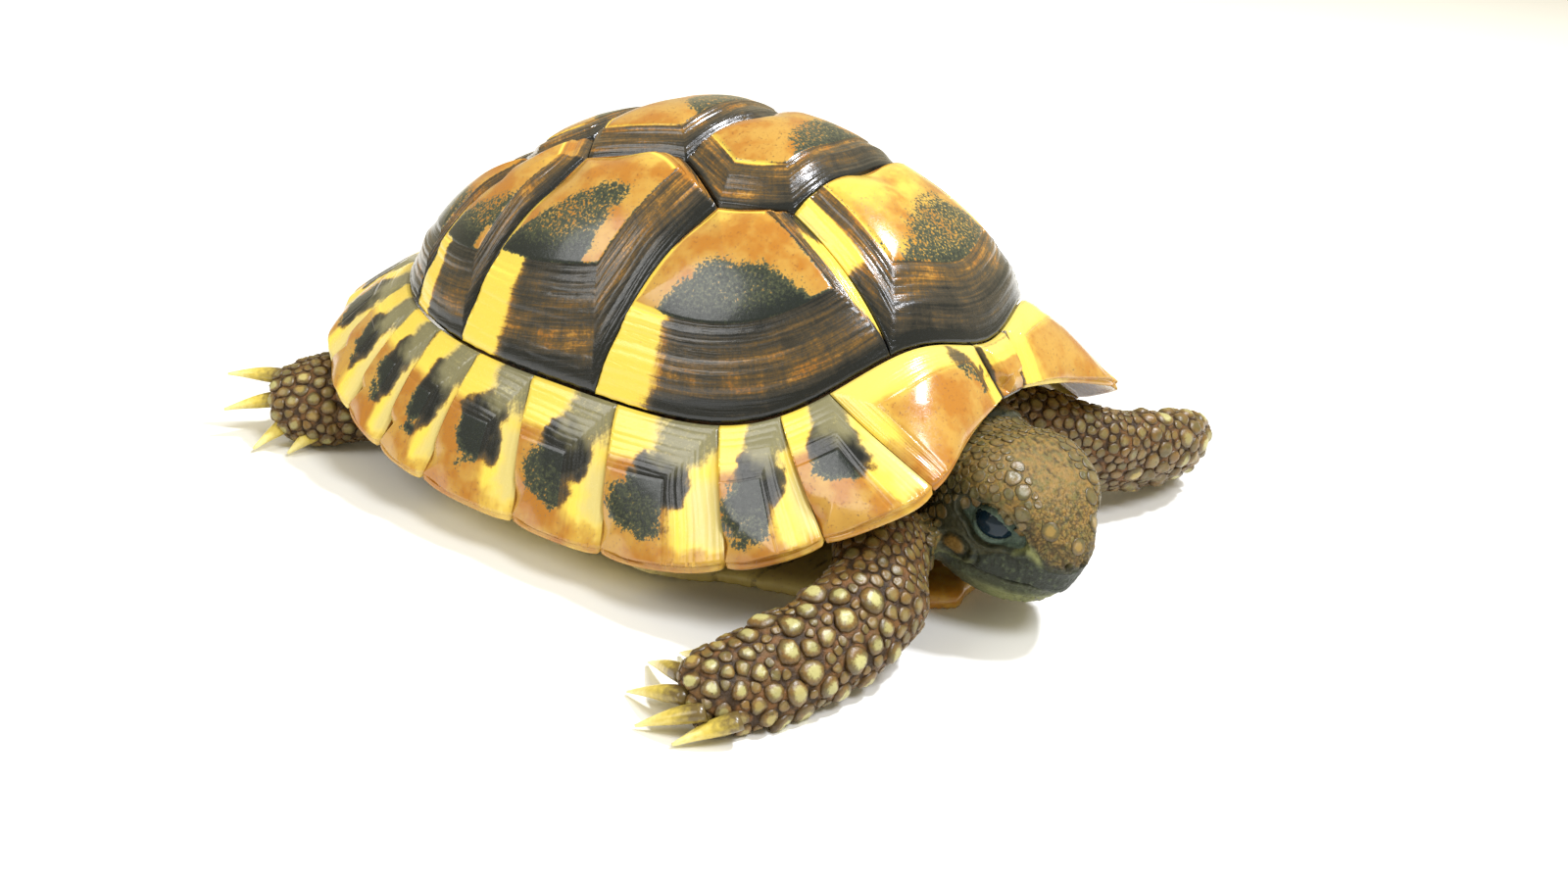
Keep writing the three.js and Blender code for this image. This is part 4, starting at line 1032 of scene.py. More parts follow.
def buildHide():
    bm = remeshed(joinedFlesh(), hide["voxel"])
    smoothed(bm, hide["smoothing"])
    refine(bm, lambda points: onShownNeck(points) | onHead(points, 19.0))
    refine(bm, lambda points: nearEye(points, 5.0) | onHead(points, 6.0))
    smoothed(bm, 3)
    bmesh.ops.triangulate(bm, faces=bm.faces)
    bm.normal_update()
    atHead = onHead(allPoints(bm), 17.0)
    for k, (vert, normal) in enumerate([(v, v.normal.copy()) for v in bm.verts]):
        vert.co += normal * (hide["headLift"] if atHead[k] else hide["lift"])
    smoothed(bm, 1)
    bm.verts.ensure_lookup_table()
    points, normals = allPoints(bm), allNormals(bm)
    # granules and folds of the limbs and neck
    legs = np.flatnonzero(onLimbs(points) & ~onHead(points, 21.0))
    # granule creases, pushed in and painted darker: partly the skin's own colour, partly painted shade
    crease = 1 - step(cells(points[legs], 1.5, 2.0), 0.03, 0.32)
    slack = waves(points[legs] * [1, 1, 1.6], 4.5, 7.0, 2)
    offFloor = step(points[legs][:, 2], 0.4, 1.4)
    points[legs] += normals[legs] * ((0.22 * slack - 0.22 * crease) * offFloor)[:, None]
    for k in legs:
        bm.verts[k].co = points[k]
    chosen, local, marks = sculptHead(bm)
    # how the hide is coloured: creases, pale places and the part of the body
    fade = marks["fade"]
    pale, brown, drumGold = headTones(local, marks)
    tones, features, gold = np.zeros((len(points), 3)), np.zeros((len(points), 3)), np.zeros(len(points))
    tones[legs, 0] = crease
    tones[chosen, 0] = np.where(fade > 0, marks["crease"], tones[chosen, 0])
    tones[chosen, 1:] = np.stack([pale * fade, brown * fade], -1)
    features[chosen] = np.stack([marks["beak"] * fade, marks["ring"] * fade, marks["socket"]], -1)
    gold[chosen] = drumGold
    layers = bm.verts.layers
    golden = layers.float.new("gold")
    tone, feature = [layers.float_vector.new(title) for title in ("tone", "feature")]
    for k, vert in enumerate(bm.verts):
        vert[golden] = gold[k]
        vert[tone] = tones[k]
        vert[feature] = features[k]
    print("hide:", sum(len(face.verts) - 2 for face in bm.faces), "triangles")
    kept = bm.copy()
    finishPiece("hide", bm, hideMaterial, fleshNodes)
    return kept


# cheek and its fleck colour: the dark sides of the head; crown: its lighter upward faces; partly their own
# colours, partly painted shade and painted light
# crease: near-black for the grooves and the mouth slit, partly the skin's own colour and partly painted shade
# socket: near-black painted shade inside the lid ring, under the eyeball
hideColours = {"earth": "#614827", "rust": "#714C25", "crease": "#1F1710", "crown": "#907138",
               "olive": "#6A6334", "cheek": "#43432E", "soot": "#2E3327", "pale": "#868A58",
               "gold": "#86662A", "beak": "#1F261E", "beakPale": "#505A42", "lid": "#47584E",
               "lidPale": "#647664", "socket": "#0B0D0E"}
hideGrain = {"cloud": 3.0, "grain": 0.35, "fleck": 0.9}  # millimetres across


def buildSkin():
    # dry keratin hide: matt, darker in the creases (partly its own colour, partly painted shade in the
    # grooves and the mouth slit), with a faint waxy shine on the raised places
    material, tree, shader = newMaterial("reptile hide")
    colours = {name: linear(value) for name, value in hideColours.items()}
    read = {name: addNode(tree, "Attribute", {"attribute_name": name})
            for name in ("tone", "feature", "gold")}
    tone, feature = [addNode(tree, "SeparateXYZ", inputs={0: read[name].outputs["Vector"]}).outputs
                     for name in ("tone", "feature")]
    place = addNode(tree, "TexCoord").outputs["Object"]
    fields = {}
    for name, size in hideGrain.items():
        inputs = {"Vector": place, "Scale": 1 / (size * mm), "Detail": 4.0, "Roughness": 0.66}
        fields[name] = addNode(tree, "TexNoise", None, inputs).outputs["Fac"]
    share = {}
    for name, source, low, high, top in (
            ("patches", fields["cloud"], 0.38, 0.62, 1.0), ("flecks", fields["fleck"], 0.35, 0.7, 1.0),
            ("head", tone[2], 0.0, 0.2, 1.0), ("top", tone[2], 0.3, 0.55, 1.0),
            ("streaks", fields["fleck"], 0.5, 0.68, 0.75), ("beak", feature[0], 0.3, 0.8, 0.92),
            ("lid", feature[1], 0.3, 0.8, 1.0), ("pores", fields["grain"], 0.54, 0.74, 0.65),
            ("crease", tone[0], 0.1, 0.9, 0.8)):
        inputs = {"Value": source, "From Min": low, "From Max": high, "To Max": top}
        share[name] = addNode(tree, "MapRange", smoothly, inputs).outputs[0]
    mixed = {}
    for name, factor, first, second in (
            ("body", "patches", "earth", "rust"), ("crown", "flecks", "crown", "olive"),
            ("cheek", "flecks", "cheek", "soot"), ("beak", "streaks", "beak", "beakPale"),
            ("lid", "streaks", "lid", "lidPale")):
        inputs = {0: share[factor], 6: colours[first], 7: colours[second]}
        mixed[name] = addNode(tree, "Mix", mixColours, inputs).outputs[2]
    colour = mixed["body"]
    # the head's sides take the dark cheek colour and its upward faces the lighter crown colour: partly
    # painted light from above and painted shade on the sides
    for factor, layer in (
            (share["head"], mixed["cheek"]), (share["top"], mixed["crown"]), (share["beak"], mixed["beak"]),
            (tone[1], colours["pale"]), (read["gold"].outputs["Fac"], colours["gold"]),
            (share["lid"], mixed["lid"]), (share["pores"], colours["crease"]),
            # painted shade: near-black inside the lid ring
            (share["crease"], colours["crease"]), (feature[2], colours["socket"])):
        colour = addNode(tree, "Mix", mixColours, {0: factor, 6: colour, 7: layer}).outputs[2]
    tree.links.new(colour, shader.inputs["Base Color"])
    inputs = {"Value": fields["grain"], "From Min": 0.35, "From Max": 0.7, "To Min": 0.36, "To Max": 0.62}
    rough = addNode(tree, "MapRange", None, inputs)
    tree.links.new(rough.outputs[0], shader.inputs["Roughness"])
    shader.inputs["Specular IOR Level"].default_value = 0.32
    relief = addNode(tree, "Math", multiplyAdd, {0: fields["fleck"], 1: 1.5, 2: fields["grain"]}).outputs[0]
    bump = addNode(tree, "Bump", None, {"Strength": 0.7, "Distance": 0.0002, "Height": relief})
    tree.links.new(bump.outputs["Normal"], shader.inputs["Normal"])
    return material


hideMaterial = buildSkin()


def buildEyes():
    # wet cornea over a nearly black iris: one small hard glint in a dark ball
    material, _, shader = newMaterial("wet cornea")
    shader.inputs["Base Color"].default_value = linear("#10222F")
    shader.inputs["Roughness"].default_value = 0.12
    shader.inputs["Specular IOR Level"].default_value = 0.3
    for side, label in ((-1, "right"), (1, "left")):
        bm = bmesh.new()
        place = Matrix.Translation(headPlace @ eyeCentre(side))
        bmesh.ops.create_icosphere(bm, subdivisions=5, radius=eye["radius"], matrix=place)
        finishPiece(f"eye{label.capitalize()}", bm, material, [f"eye_{label}"])


# plastron: twelve plates in one closed piece, flat below

# each cross seam: y on the middle line and how far it slants back to the side
crossSeams = [(-36.5, -0.42), (-28, 0.12), (-19, -0.06), (17.5, 0.03), (31, 0.16)]
plastron = {"voxel": 0.75, "smoothing": 4, "seam": 0.35, "rings": 0.05}


def buildPlastron():
    bm = bmesh.new()
    bm.from_mesh(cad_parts["plastron"].data)
    bmesh.ops.scale(bm, vec=(1 / mm,) * 3, verts=bm.verts)
    bmesh.ops.remove_doubles(bm, verts=bm.verts, dist=0.01)
    bm = remeshed(bm, plastron["voxel"])
    smoothed(bm, plastron["smoothing"])
    points, normals = allPoints(bm), allNormals(bm)
    x, y, z = points.T
    waver = wavering(points, 7.0, 60.0)
    cross = np.array([np.abs(y - at - slant * np.abs(x) - 0.4 * waver) for at, slant in crossSeams])
    bridge = np.abs(np.abs(x) - 29.5) + 50 * ((y < -17) | (y > 20))
    gap = np.minimum(np.minimum(np.abs(x + 0.35 * waver), cross.min(0)), bridge)
    groove = plastron["seam"] * bell(gap, 0, 0.3)
    rings = plastron["rings"] * np.sin(gap * 5.2 + waver) * (1 - step(gap, 5, 8))
    moved = points - normals * (groove - rings)[:, None]
    under = -normals[:, 2] > 0.5
    moved[:, 2] = np.maximum(np.where(under, np.maximum(moved[:, 2], 0), moved[:, 2]), 0)
    # two dark bands along the underside, broken at the seams, the rest cream and yellow
    band = blot(np.abs(x) + 1.5 * waver, y, (13.5, 4), (7.5, 34)) * step(gap, 0.8, 2.6) * (z < 4)
    side = step(z, 1.5, 4)
    ringed = bell((gap + 0.5 * waver) % 1.7, 0.4, 0.22)
    dark = 0.95 * band * (1 - side) + 0.3 * bell(gap, 0.3, 0.5) + 0.7 * side * ringed
    front = step(-y, 37, 39)
    pigment = np.stack([dark * (1 - 0.7 * front), 0.45 - 0.15 * front, 0.75 * (1 - front)], -1)
    layers = bm.verts.layers
    painted, streak, growth = [layers.float_vector.new(title) for title in ("pigment", "streak", "growth")]
    breakup = layers.float.new("breakup")
    for k, vert in enumerate(bm.verts):
        vert.co = moved[k]
        vert[painted] = pigment[k]
        vert[streak] = points[k]
        vert[growth] = (0.5, gap[k] + 0.01, 33.0)
        vert[breakup] = 0.5
    finishPiece("plastronPlates", bm, hornMaterial, ["plastron"])


# coat: scales and tubercles, each a small closed dome over the hide

# route: points down the limb, each with its flesh radius; outer: the side with the large tubercles;
# elbow and hand: how far along the route these and the hand begin; pale: least and most horn colour
limbs = {
    "foreleg_right": {"outer": (-0.35, -0.62, 0.7), "elbow": 27.5, "hand": 44, "big": 1.48,
                      "pale": (0.55, 1.0),
                      "route": [(-13.5, -27, 14, 7.2), (-18, -36, 12, 7.4), (-24.5, -43, 8.6, 7),
                                (-34, -43.8, 6, 6.4), (-43, -42, 4.6, 6.1), (-50, -39.4, 3.9, 5.6),
                                (-53.4, -38, 3.4, 4.6)]},
    "foreleg_left": {"outer": (0.05, -0.6, 0.8), "elbow": 27, "hand": 46, "big": 1.36, "pale": (-0.6, 1.0),
                     "route": [(14, -27, 14, 7.5), (20, -36, 12, 7.6), (27, -43.5, 9.4, 7.4),
                               (36, -47.5, 8, 7), (44.5, -49.5, 6.8, 6.6), (50, -47.5, 5.2, 5.6),
                               (52.5, -44.5, 3.8, 4)]},
    "hindleg_right": {"outer": (-0.7, 0.55, 0.3), "elbow": 18, "hand": 24, "big": 1.1, "pale": (0.1, 0.9),
                      "route": [(-15, 28, 13, 8), (-23, 35, 9.6, 7.8), (-29, 40.5, 6.6, 7.2),
                                (-33.6, 44.8, 5.4, 7), (-36.2, 47, 5, 5.8)]},
    "hindleg_left": {"outer": (0.6, 0.6, 0.3), "elbow": 18, "hand": 24, "big": 1.1, "pale": (0.1, 0.9),
                     "route": [(15, 28, 13, 8), (24, 34, 9.6, 7.8), (31, 39.5, 6, 7), (34.5, 44, 5, 6.6),
                               (36, 48, 4.4, 5)]},
    "tail": {"outer": (0.3, 0.5, 0.8), "elbow": 0, "hand": 99, "big": 0.85, "pale": (0.1, 0.8),
             "route": [(0, 36, 10.4, 5), (0.6, 41, 8.6, 4.4), (2.4, 45.6, 6.4, 3.6), (5.4, 48, 4.4, 2.6),
                       (8.2, 48.6, 3, 1.6)]},
}
for limb in limbs.values():
    limb["outer"] = Vector(limb["outer"]).normalized()
# near: how far a scale looks for neighbours; crowd: how close they may come; rim and lip: its edge's height
coat = {"small": 0.66, "tiny": 0.5, "gap": 0.06, "fill": 1.42, "under": 0.3, "bakePatch": 0.0015,
        "near": 3.4, "cell": 2.6, "crowd": 0.98, "rim": 0.1, "headRim": 0.07, "lip": 0.05,
        "sides": 12, "rows": (0, 0.35, 0.65, 0.88, 1, 1, 0),
        "limbTries": (9000, 14000), "headTries": (5000, 4000)}


def alongRoute(point, route):
    # distance along the route, gap from its flesh, the way it runs and its axis point
    best, run = None, 0.0
    for start, end in zip(route, route[1:]):
        a, b = Vector(start[:3]), Vector(end[:3])
        share = min(max((point - a).dot(b - a) / (b - a).length_squared, 0), 1)
        axis = a.lerp(b, share)
        gap = (point - axis).length - (start[3] + (end[3] - start[3]) * share)
        if best is None or gap < best[1]:
            best = (run + share * (b - a).length, gap, (b - a).normalized(), axis)
        run += (b - a).length
    return best


def routeGap(points, route):
    # how far each point lies outside the route's flesh
    best = np.full(len(points), 1e9)
    for start, end in zip(np.array(route, float), np.array(route[1:], float)):
        run = end - start
        share = np.clip((points - start[:3]) @ run[:3] / (run[:3] @ run[:3]), 0, 1)
        axis = start[:3] + run[:3] * share[:, None]
        best = np.minimum(best, np.linalg.norm(points - axis, axis=1) - start[3] - run[3] * share)
    return best


def limbScale(name, point, normal, chance):
    # the scale that grows here: its size, how pale its middle is, how high it stands and how far it tilts
    limb = limbs[name]
    run, _, lie, axis = alongRoute(point, limb["route"])
    facing = normal.dot(limb["outer"])
    beyond = run - limb["elbow"]
    radius, pale, high, tilt = coat["small"], 0.12 * chance, 0.13, 0.2
    least, most = limb["pale"]
    if beyond > 0 and facing > 0.02 and run < limb["hand"]:
        radius = limb["big"] * (0.74 + 0.42 * chance)
        pale, high, tilt = least + (most - least) * chance, 0.36, 0.3
    elif run >= limb["hand"] and facing > -0.35:
        radius, pale, high, tilt = 0.8 + 0.25 * chance, least * 0.6 + (most - least) * chance, 0.3, 0.35
    elif beyond > 0 and facing > -0.42 and normal.z > -0.75:
        radius, pale, high, tilt = limb["big"] * 0.82, least + (most - least) * chance, 0.3, 1.15
    elif beyond <= 0 and facing > 0:
        radius, pale = 0.66 + 0.24 * chance, 0.2 * chance
    if name.startswith("hind") and run < limb["hand"]:
        radius, pale = radius * 0.86, pale * 0.4
    return {"radius": radius, "pale": max(pale, 0.0), "high": high, "tilt": tilt, "lie": lie, "run": run,
            "axis": axis}


def scatterScales(faces, sizeAt, rng, spots, tries):
    # dart throwing: large scales first, then small ones into the gaps that are left
    total = np.cumsum([f.calc_area() for f in faces])
    grid = {}
    for stage, count in zip(("large", "filler"), tries):
        for _ in range(count):
            face = faces[int(np.searchsorted(total, rng.random() * total[-1]))]
            corners = [v.co for v in face.verts]
            a, b = rng.random(), rng.random()
            if a + b > 1:
                a, b = 1 - a, 1 - b
            point = corners[0] + (corners[1] - corners[0]) * a + (corners[2] - corners[0]) * b
            made = sizeAt(point, face.normal, rng.random())
            if made is None:
                continue
            if stage == "filler" and made["radius"] > coat["small"]:
                radius, pale = coat["tiny"] + 0.24 * rng.random(), 0.12 * rng.random()
                made |= {"radius": radius, "pale": pale, "high": 0.12, "tilt": 0.15}
            x, y, z = [math.floor(value / coat["cell"]) for value in point]
            around = [other for dx in (-1, 0, 1) for dy in (-1, 0, 1) for dz in (-1, 0, 1)
                      for other in grid.get((x + dx, y + dy, z + dz), ())]
            reach, crowd = made["radius"], coat["crowd"]
            if all((other["point"] - point).length > (reach + other["radius"]) * crowd for other in around):
                spot = made | {"point": point, "normal": face.normal.copy(), "tint": rng.random()}
                spots.append(spot)
                grid.setdefault((x, y, z), []).append(spot)
    return spots


def scaleOutline(spot, near, along, across):
    # how far the scale reaches in each direction: half way to its neighbours, drawn out where it is tilted
    reach = []
    for k in range(coat["sides"]):
        turn = 2 * math.pi * k / coat["sides"]
        out = along * math.cos(turn) + across * math.sin(turn)
        parts = (1 / (spot["radius"] * coat["fill"])) ** 6
        for other in near:
            offset = other["point"] - spot["point"]
            towards = offset.dot(out)
            if towards > 0:
                middle = offset.length_squared * spot["radius"] / (spot["radius"] + other["radius"]) / towards
                parts += (1 / max(middle, 0.05)) ** 6
        drawn = 1 + 0.16 * spot["tilt"] * max(math.cos(turn), 0) ** 3
        reach.append(out * (parts ** (-1 / 6) - coat["gap"]) * drawn)
    return reach


def copiedSpheres(count):
    # copies of one low sphere, told apart by their number
    bm = bmesh.new()
    number = bm.verts.layers.int.new("number")
    bmesh.ops.create_uvsphere(bm, u_segments=coat["sides"], v_segments=len(coat["rows"]) - 1, radius=1)
    copies = 1
    while copies < count:
        source = [v for v in bm.verts if v[number] < count - copies]
        faces = {f for v in source for f in v.link_faces}
        edges = {e for v in source for e in v.link_edges}
        for item in bmesh.ops.duplicate(bm, geom=source + list(edges) + list(faces))["geom"]:
            if isinstance(item, bmesh.types.BMVert):
                item[number] += copies
        copies *= 2
    return bm


def layCoat(name, tree, spots, material):
    # one piece of all the scales of a region, each a sphere squeezed to a low scale over the hide
    rows, sides = coat["rows"], coat["sides"]
    segments = len(rows) - 1
    bm = copiedSpheres(len(spots))
    layers = bm.verts.layers
    tone, patch = [layers.float_vector.new(title) for title in ("tone", "patch")]
    number, sheet = layers.int["number"], bm.loops.layers.uv.new("OFBake")
    corners = [[] for _ in spots]
    for vert in bm.verts:
        corners[vert[number]].append(vert)
    lookup = KDTree(len(spots))
    for k, spot in enumerate(spots):
        lookup.insert(spot["point"], k)
    lookup.balance()
    for spot, own in zip(spots, corners):
        point, normal = spot["point"], spot["normal"]
        near = [spots[k] for _, k, gap in lookup.find_range(point, coat["near"]) if gap > 0.01]
        along = (spot["lie"] - normal * spot["lie"].dot(normal)).normalized()
        reach = scaleOutline(spot, near, along, normal.cross(along))
        top = spot["radius"] * spot["high"]
        rim = coat["rim"] if spot["high"] > 0 else coat["headRim"]
        for vert in own:
            level = round(math.acos(min(max(vert.co.z, -1), 1)) * segments / math.pi)
            turn = math.atan2(vert.co.y, vert.co.x)
            row = rows[level]
            height = rim + top * (1 - row ** 2.4) + (coat["lip"] if 0 < row < 1 else 0)
            height += spot["tilt"] * 0.5 * spot["radius"] * row * max(math.cos(turn), 0)
            if level > segments - 2:
                height = -coat["under"]
            out = reach[round(turn * sides / (2 * math.pi)) % sides]
            place, facing, _, _ = tree.find_nearest(point + out * row)
            vert.co = place + (normal + facing).normalized() * height
            vert[tone] = (row, spot["pale"], spot["tint"])
            vert[patch] = (spot["patch"][0] + math.cos(turn) * row * coat["bakePatch"],
                           spot["patch"][1] + math.sin(turn) * row * coat["bakePatch"], 0)
    for face in bm.faces:
        for loop in face.loops:
            loop[sheet].uv = loop.vert[patch][:2]
    layers.float_vector.remove(patch)
    layers.int.remove(number)
    print(name, len(spots), "scales", sum(len(face.verts) - 2 for face in bm.faces), "triangles")
    finishPiece(name, bm, material)


def dressLimbs(hideMesh):
    tree = BVHTree.FromBMesh(hideMesh)
    centres = np.array([f.calc_center_median() for f in hideMesh.faces])
    gaps = np.array([routeGap(centres, limb["route"]) for limb in limbs.values()])
    shown = (gaps.min(0) < 2.0) & ~onHead(centres, 24.0)
    for seed, (name, limb) in enumerate(limbs.items()):
        faces = [f for f, best, keep in zip(hideMesh.faces, gaps.argmin(0), shown) if keep and best == seed]
        whole = sum(math.dist(a[:3], b[:3]) for a, b in zip(limb["route"], limb["route"][1:]))

        def sizeAt(point, normal, chance, name=name):
            return None if point.z < 0.7 or inShell(point) else limbScale(name, point, normal, chance)

        spots = scatterScales(faces, sizeAt, random.Random(seed + 11), [], coat["limbTries"])
        for spot in spots:
            out = spot["point"] - spot["axis"]
            side = limb["outer"].cross(spot["lie"]).normalized()
            turn = math.atan2(out.dot(side), out.dot(limb["outer"])) / (2 * math.pi) + 0.5
            spot["patch"] = (0.02 + 0.96 * turn, 0.02 + 0.96 * min(spot["run"] / whole, 1.0))
        layCoat(camelName("scales_" + name), tree, spots, scaleMaterial)


# scales of one side of the head: place, radius, height, share of horn colour and its tint (0 grey, 1 gold)
headScales = [((-6.5, 9.0, 5.1), 1.1, 0.04, 0.5, 0), ((-6.2, 7.4, 4.6), 1.0, 0.04, 0.45, 0),
              ((-5.2, 7.6, 5.6), 1.05, 0.04, 0.4, 0), ((-5.5, 9.2, 6.2), 1.05, 0.03, 0.3, 0.1),
              ((-7.2, 10.2, 4.4), 0.85, 0.04, 0.3, 0.6), ((-7.5, 11.5, 4.4), 0.85, 0.04, 0.3, 0.7),
              ((-6.3, 6.2, 3.8), 0.8, 0.02, 0.2, 0.7), ((-5.3, 5.9, 4.4), 0.85, 0.02, 0.2, 0.5),
              ((-3.4, 2.8, 3.5), 0.85, 0.0, 0.8, 1), ((0, 0.7, 2.3), 0.8, 0.0, 0.8, 1)]


def dressHead(hideMesh):
    tree = BVHTree.FromBMesh(hideMesh)
    lie = (headPlace.to_3x3() @ Vector((0, -1, 0))).normalized()
    fixed = []
    for place, radius, high, pale, tint in headScales:
        for sign in (1, -1) if place[0] else (1,):
            point, normal, _, _ = tree.find_nearest(headPlace @ Vector((place[0] * sign, place[1], place[2])))
            fixed.append({"point": point, "normal": normal, "radius": radius, "pale": pale, "high": high,
                          "tilt": 0.1, "lie": lie, "tint": tint})
    faces = [f for f in hideMesh.faces if f.calc_center_median().z > 5]
    centres = np.array([f.calc_center_median() for f in faces])
    local = headSpace(centres)
    normal = np.array([f.normal for f in faces]) @ headInverse[:3, :3].T
    side, y, z = np.abs(local[:, 0]), local[:, 1], local[:, 2]
    ear = np.hypot((y - drum["back"]) / drum["long"], (z - drum["up"]) / drum["tall"])
    wanted = (y > 5) & (y < 21) & (side < 12) & (z > -9) & ((normal[:, 2] < 0.4) | (side > 4) | (y > 14.5))
    wanted &= (z > 2) | (y > 12.6)
    wanted &= ~((ear < 1.35) & (side > 5)) & ~nearEye(centres, 3.5)

    def sizeAt(point, normal, chance):
        near = min((point - spot["point"]).length - spot["radius"] for spot in fixed)
        radius = 0.42 + 0.45 * chance ** 1.5
        if near < radius * 0.9 or inShell(point):
            return None
        return {"radius": radius, "pale": 0.15 * chance, "high": -0.06, "tilt": 0.08, "lie": lie}

    bare = [f for f, keep in zip(faces, wanted) if keep]
    spots = scatterScales(bare, sizeAt, random.Random(5), list(fixed), coat["headTries"])
    for spot in spots:
        x, y, z = headSpace(np.array(spot["point"]))
        spot["patch"] = (0.5 + math.atan2(x, z + 1) / (2 * math.pi) * 0.96, 0.02 + y / 24)
    layCoat("scalesHead", tree, spots, headScaleMaterial)


def inShell(point):
    # deep under the carapace no scale is needed
    return abs(point.x) < 24 and -36 < point.y < 36 and point.z > 7


scaleColours = {"rim": "#4E3A20", "body": "#775A2B", "grey": "#60542F", "pale": "#BCB87A",
                "gold": "#B4923A", "dark": "#2B2017"}
headScaleColours = {"rim": "#463B22", "body": "#725C32", "grey": "#5A5432", "pale": "#85805E",
                    "gold": "#A07C30", "dark": "#2A2518"}
scaleGrain = {"cloud": 2.2, "grain": 0.3}  # millimetres across


def buildScaleHorn(name, palette):
    # hard horny scales: smoother and glossier than the hide between them
    material, tree, shader = newMaterial(name)
    colours = {name: linear(value) for name, value in palette.items()}
    tone = addNode(tree, "Attribute", {"attribute_name": "tone"})
    tone = addNode(tree, "SeparateXYZ", inputs={0: tone.outputs["Vector"]}).outputs
    place = addNode(tree, "TexCoord").outputs["Object"]
    fields = []
    for size in scaleGrain.values():
        inputs = {"Vector": place, "Scale": 1 / (size * mm), "Detail": 3.0, "Roughness": 0.6}
        fields.append(addNode(tree, "TexNoise", None, inputs).outputs["Fac"])
    cloud, grain = fields
    edge = addNode(tree, "Math", multiplyAdd, {0: grain, 1: 0.5, 2: -0.25}).outputs[0]
    edge = addNode(tree, "Math", plus, {0: edge, 1: tone[0]}).outputs[0]
    shares = []
    for source, low, high, top in ((cloud, 0.35, 0.65, 1.0), (edge, 0.72, 1.0, 0.85), (edge, 0.7, 0.36, 1.0),
                                   (tone[2], 0.55, 0.95, 0.7), (grain, 0.56, 0.75, 0.4)):
        inputs = {"Value": source, "From Min": low, "From Max": high, "To Max": top}
        shares.append(addNode(tree, "MapRange", smoothly, inputs).outputs[0])
    centre = addNode(tree, "Math", multiply, {0: shares[2], 1: tone[1]}).outputs[0]
    inputs = {0: shares[3], 6: colours["pale"], 7: colours["gold"]}
    heart = addNode(tree, "Mix", mixColours, inputs).outputs[2]
    colour = colours["body"]
    for share, layer in ((shares[0], colours["grey"]), (shares[1], colours["rim"]), (centre, heart),
                         (shares[4], colours["dark"])):
        colour = addNode(tree, "Mix", mixColours, {0: share, 6: colour, 7: layer}).outputs[2]
    tree.links.new(colour, shader.inputs["Base Color"])
    shader.inputs["Roughness"].default_value = 0.36
    bump = addNode(tree, "Bump", None, {"Strength": 0.35, "Distance": 0.00012, "Height": grain})
    tree.links.new(bump.outputs["Normal"], shader.inputs["Normal"])
    return material


scaleMaterial = buildScaleHorn("horny limb scale", scaleColours)
headScaleMaterial = buildScaleHorn("horny head scale", headScaleColours)


# claws and tail spur: tapered horn, dark at the root

clawColours = {"root": "#66552E", "shaft": "#CDB750", "tip": "#EEE49A"}
# root and tip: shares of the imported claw's half width; long, sunk and arch: shares of its length
claw = {"sides": 20, "cuts": 11, "root": 0.92, "tip": 0.16, "swell": 1.5, "flat": 0.22, "long": 1.085,
        "sunk": 0.1, "arch": 0.12, "streak": 0.7}


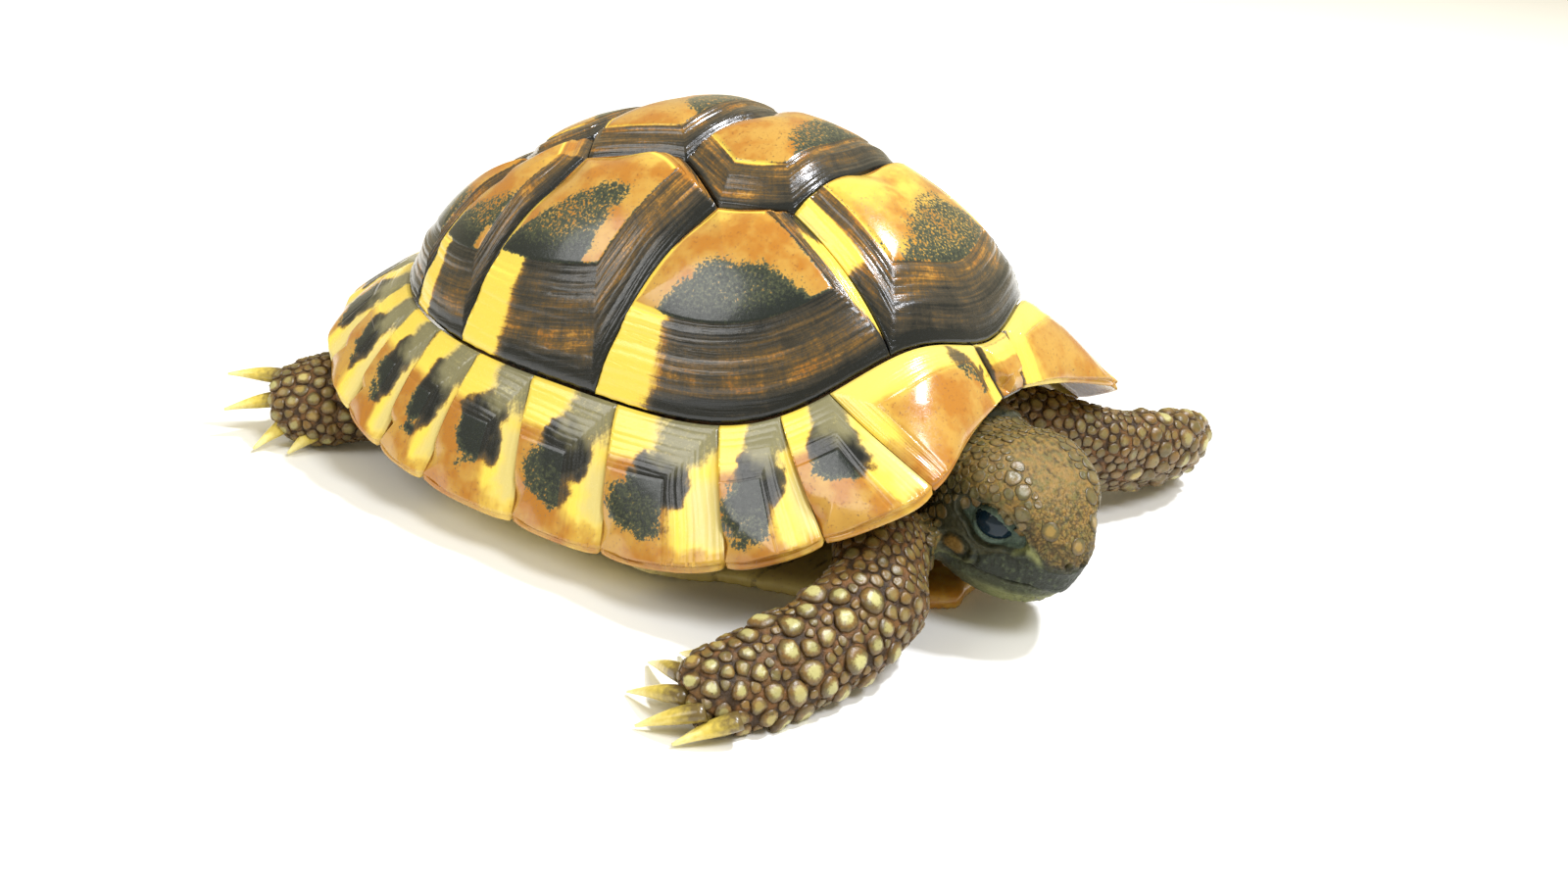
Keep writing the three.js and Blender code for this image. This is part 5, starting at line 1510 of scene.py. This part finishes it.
def buildClawHorn():
    # translucent claw horn, streaked along its length
    material, tree, shader = newMaterial("claw horn")
    colours = {name: linear(value) for name, value in clawColours.items()}
    along = addNode(tree, "Attribute", {"attribute_name": "along"}).outputs["Fac"]
    place = addNode(tree, "TexCoord").outputs["Object"]
    inputs = {"Vector": place, "Scale": 1 / (claw["streak"] * mm), "Detail": 3.0}
    grain = addNode(tree, "TexNoise", None, inputs).outputs["Fac"]
    shift = addNode(tree, "Math", multiplyAdd, {0: grain, 1: 0.6, 2: -0.3}).outputs[0]
    shift = addNode(tree, "Math", plus, {0: shift, 1: along}).outputs[0]
    ramp = addNode(tree, "ValToRGB", inputs={"Fac": shift})
    ramp.color_ramp.elements.new(0.45)
    stops = ((0.1, "root"), (0.5, "shaft"), (0.95, "tip"))
    for element, (position, name) in zip(ramp.color_ramp.elements, stops):
        element.position, element.color = position, colours[name]
    tree.links.new(ramp.outputs["Color"], shader.inputs["Base Color"])
    shader.inputs["Roughness"].default_value = 0.3
    shader.inputs["Coat Weight"].default_value = 0.2
    return material


clawMaterial = buildClawHorn()


def buildClaw(name):
    points = nodeCorners(name)
    middle = points.mean(0)
    tip = points[np.argmax(np.linalg.norm(points - middle, axis=1))]
    gaps = np.linalg.norm(points - tip, axis=1)
    rootRing = points[gaps > gaps.max() * 0.9]
    half = np.linalg.norm(rootRing - rootRing.mean(0), axis=1).max()
    root = Vector(rootRing.mean(0))
    axis = Vector(tip) - root
    bm = bmesh.new()
    bmesh.ops.create_cone(bm, cap_ends=True, segments=claw["sides"], radius1=half * claw["root"],
                          radius2=half * claw["tip"], depth=1)
    long = [e for e in bm.edges if abs(e.verts[0].co.z - e.verts[1].co.z) > 0.5]
    bmesh.ops.subdivide_edges(bm, edges=long, cuts=claw["cuts"])
    turn = axis.to_track_quat("Z", "Y")
    upright = (Vector((0, 0, 1)) - axis.normalized() * axis.normalized().z).normalized()
    floor = points[:, 2].min()
    share = bm.verts.layers.float.new("along")
    for vert in bm.verts:
        t = vert.co.z + 0.5
        local = turn @ Vector((vert.co.x, vert.co.y, 0)) * (1 + claw["swell"] * t * (1 - t))
        local -= upright * local.dot(upright) * claw["flat"]
        arch = upright * claw["arch"] * axis.length * t * (1 - t)
        vert.co = root + axis * (claw["long"] * t - claw["sunk"]) + local + arch
        vert.co.z = max(vert.co.z, floor)
        vert[share] = t
    finishPiece(camelName(name), bm, clawMaterial, [name])


def buildClaws():
    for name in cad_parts:
        if name.startswith("claw_") or name == "tail_spur":
            buildClaw(name)


# making

buildCamera()
buildStudio()
buildCarapace()
print("carapace done")
buildMarginals()
buildPlastron()
print("marginals and plastron done")
hideMesh = buildHide()
buildEyes()
print("hide and eyes done")
dressLimbs(hideMesh)
dressHead(hideMesh)
hideMesh.free()
buildClaws()
print("coat and claws done")
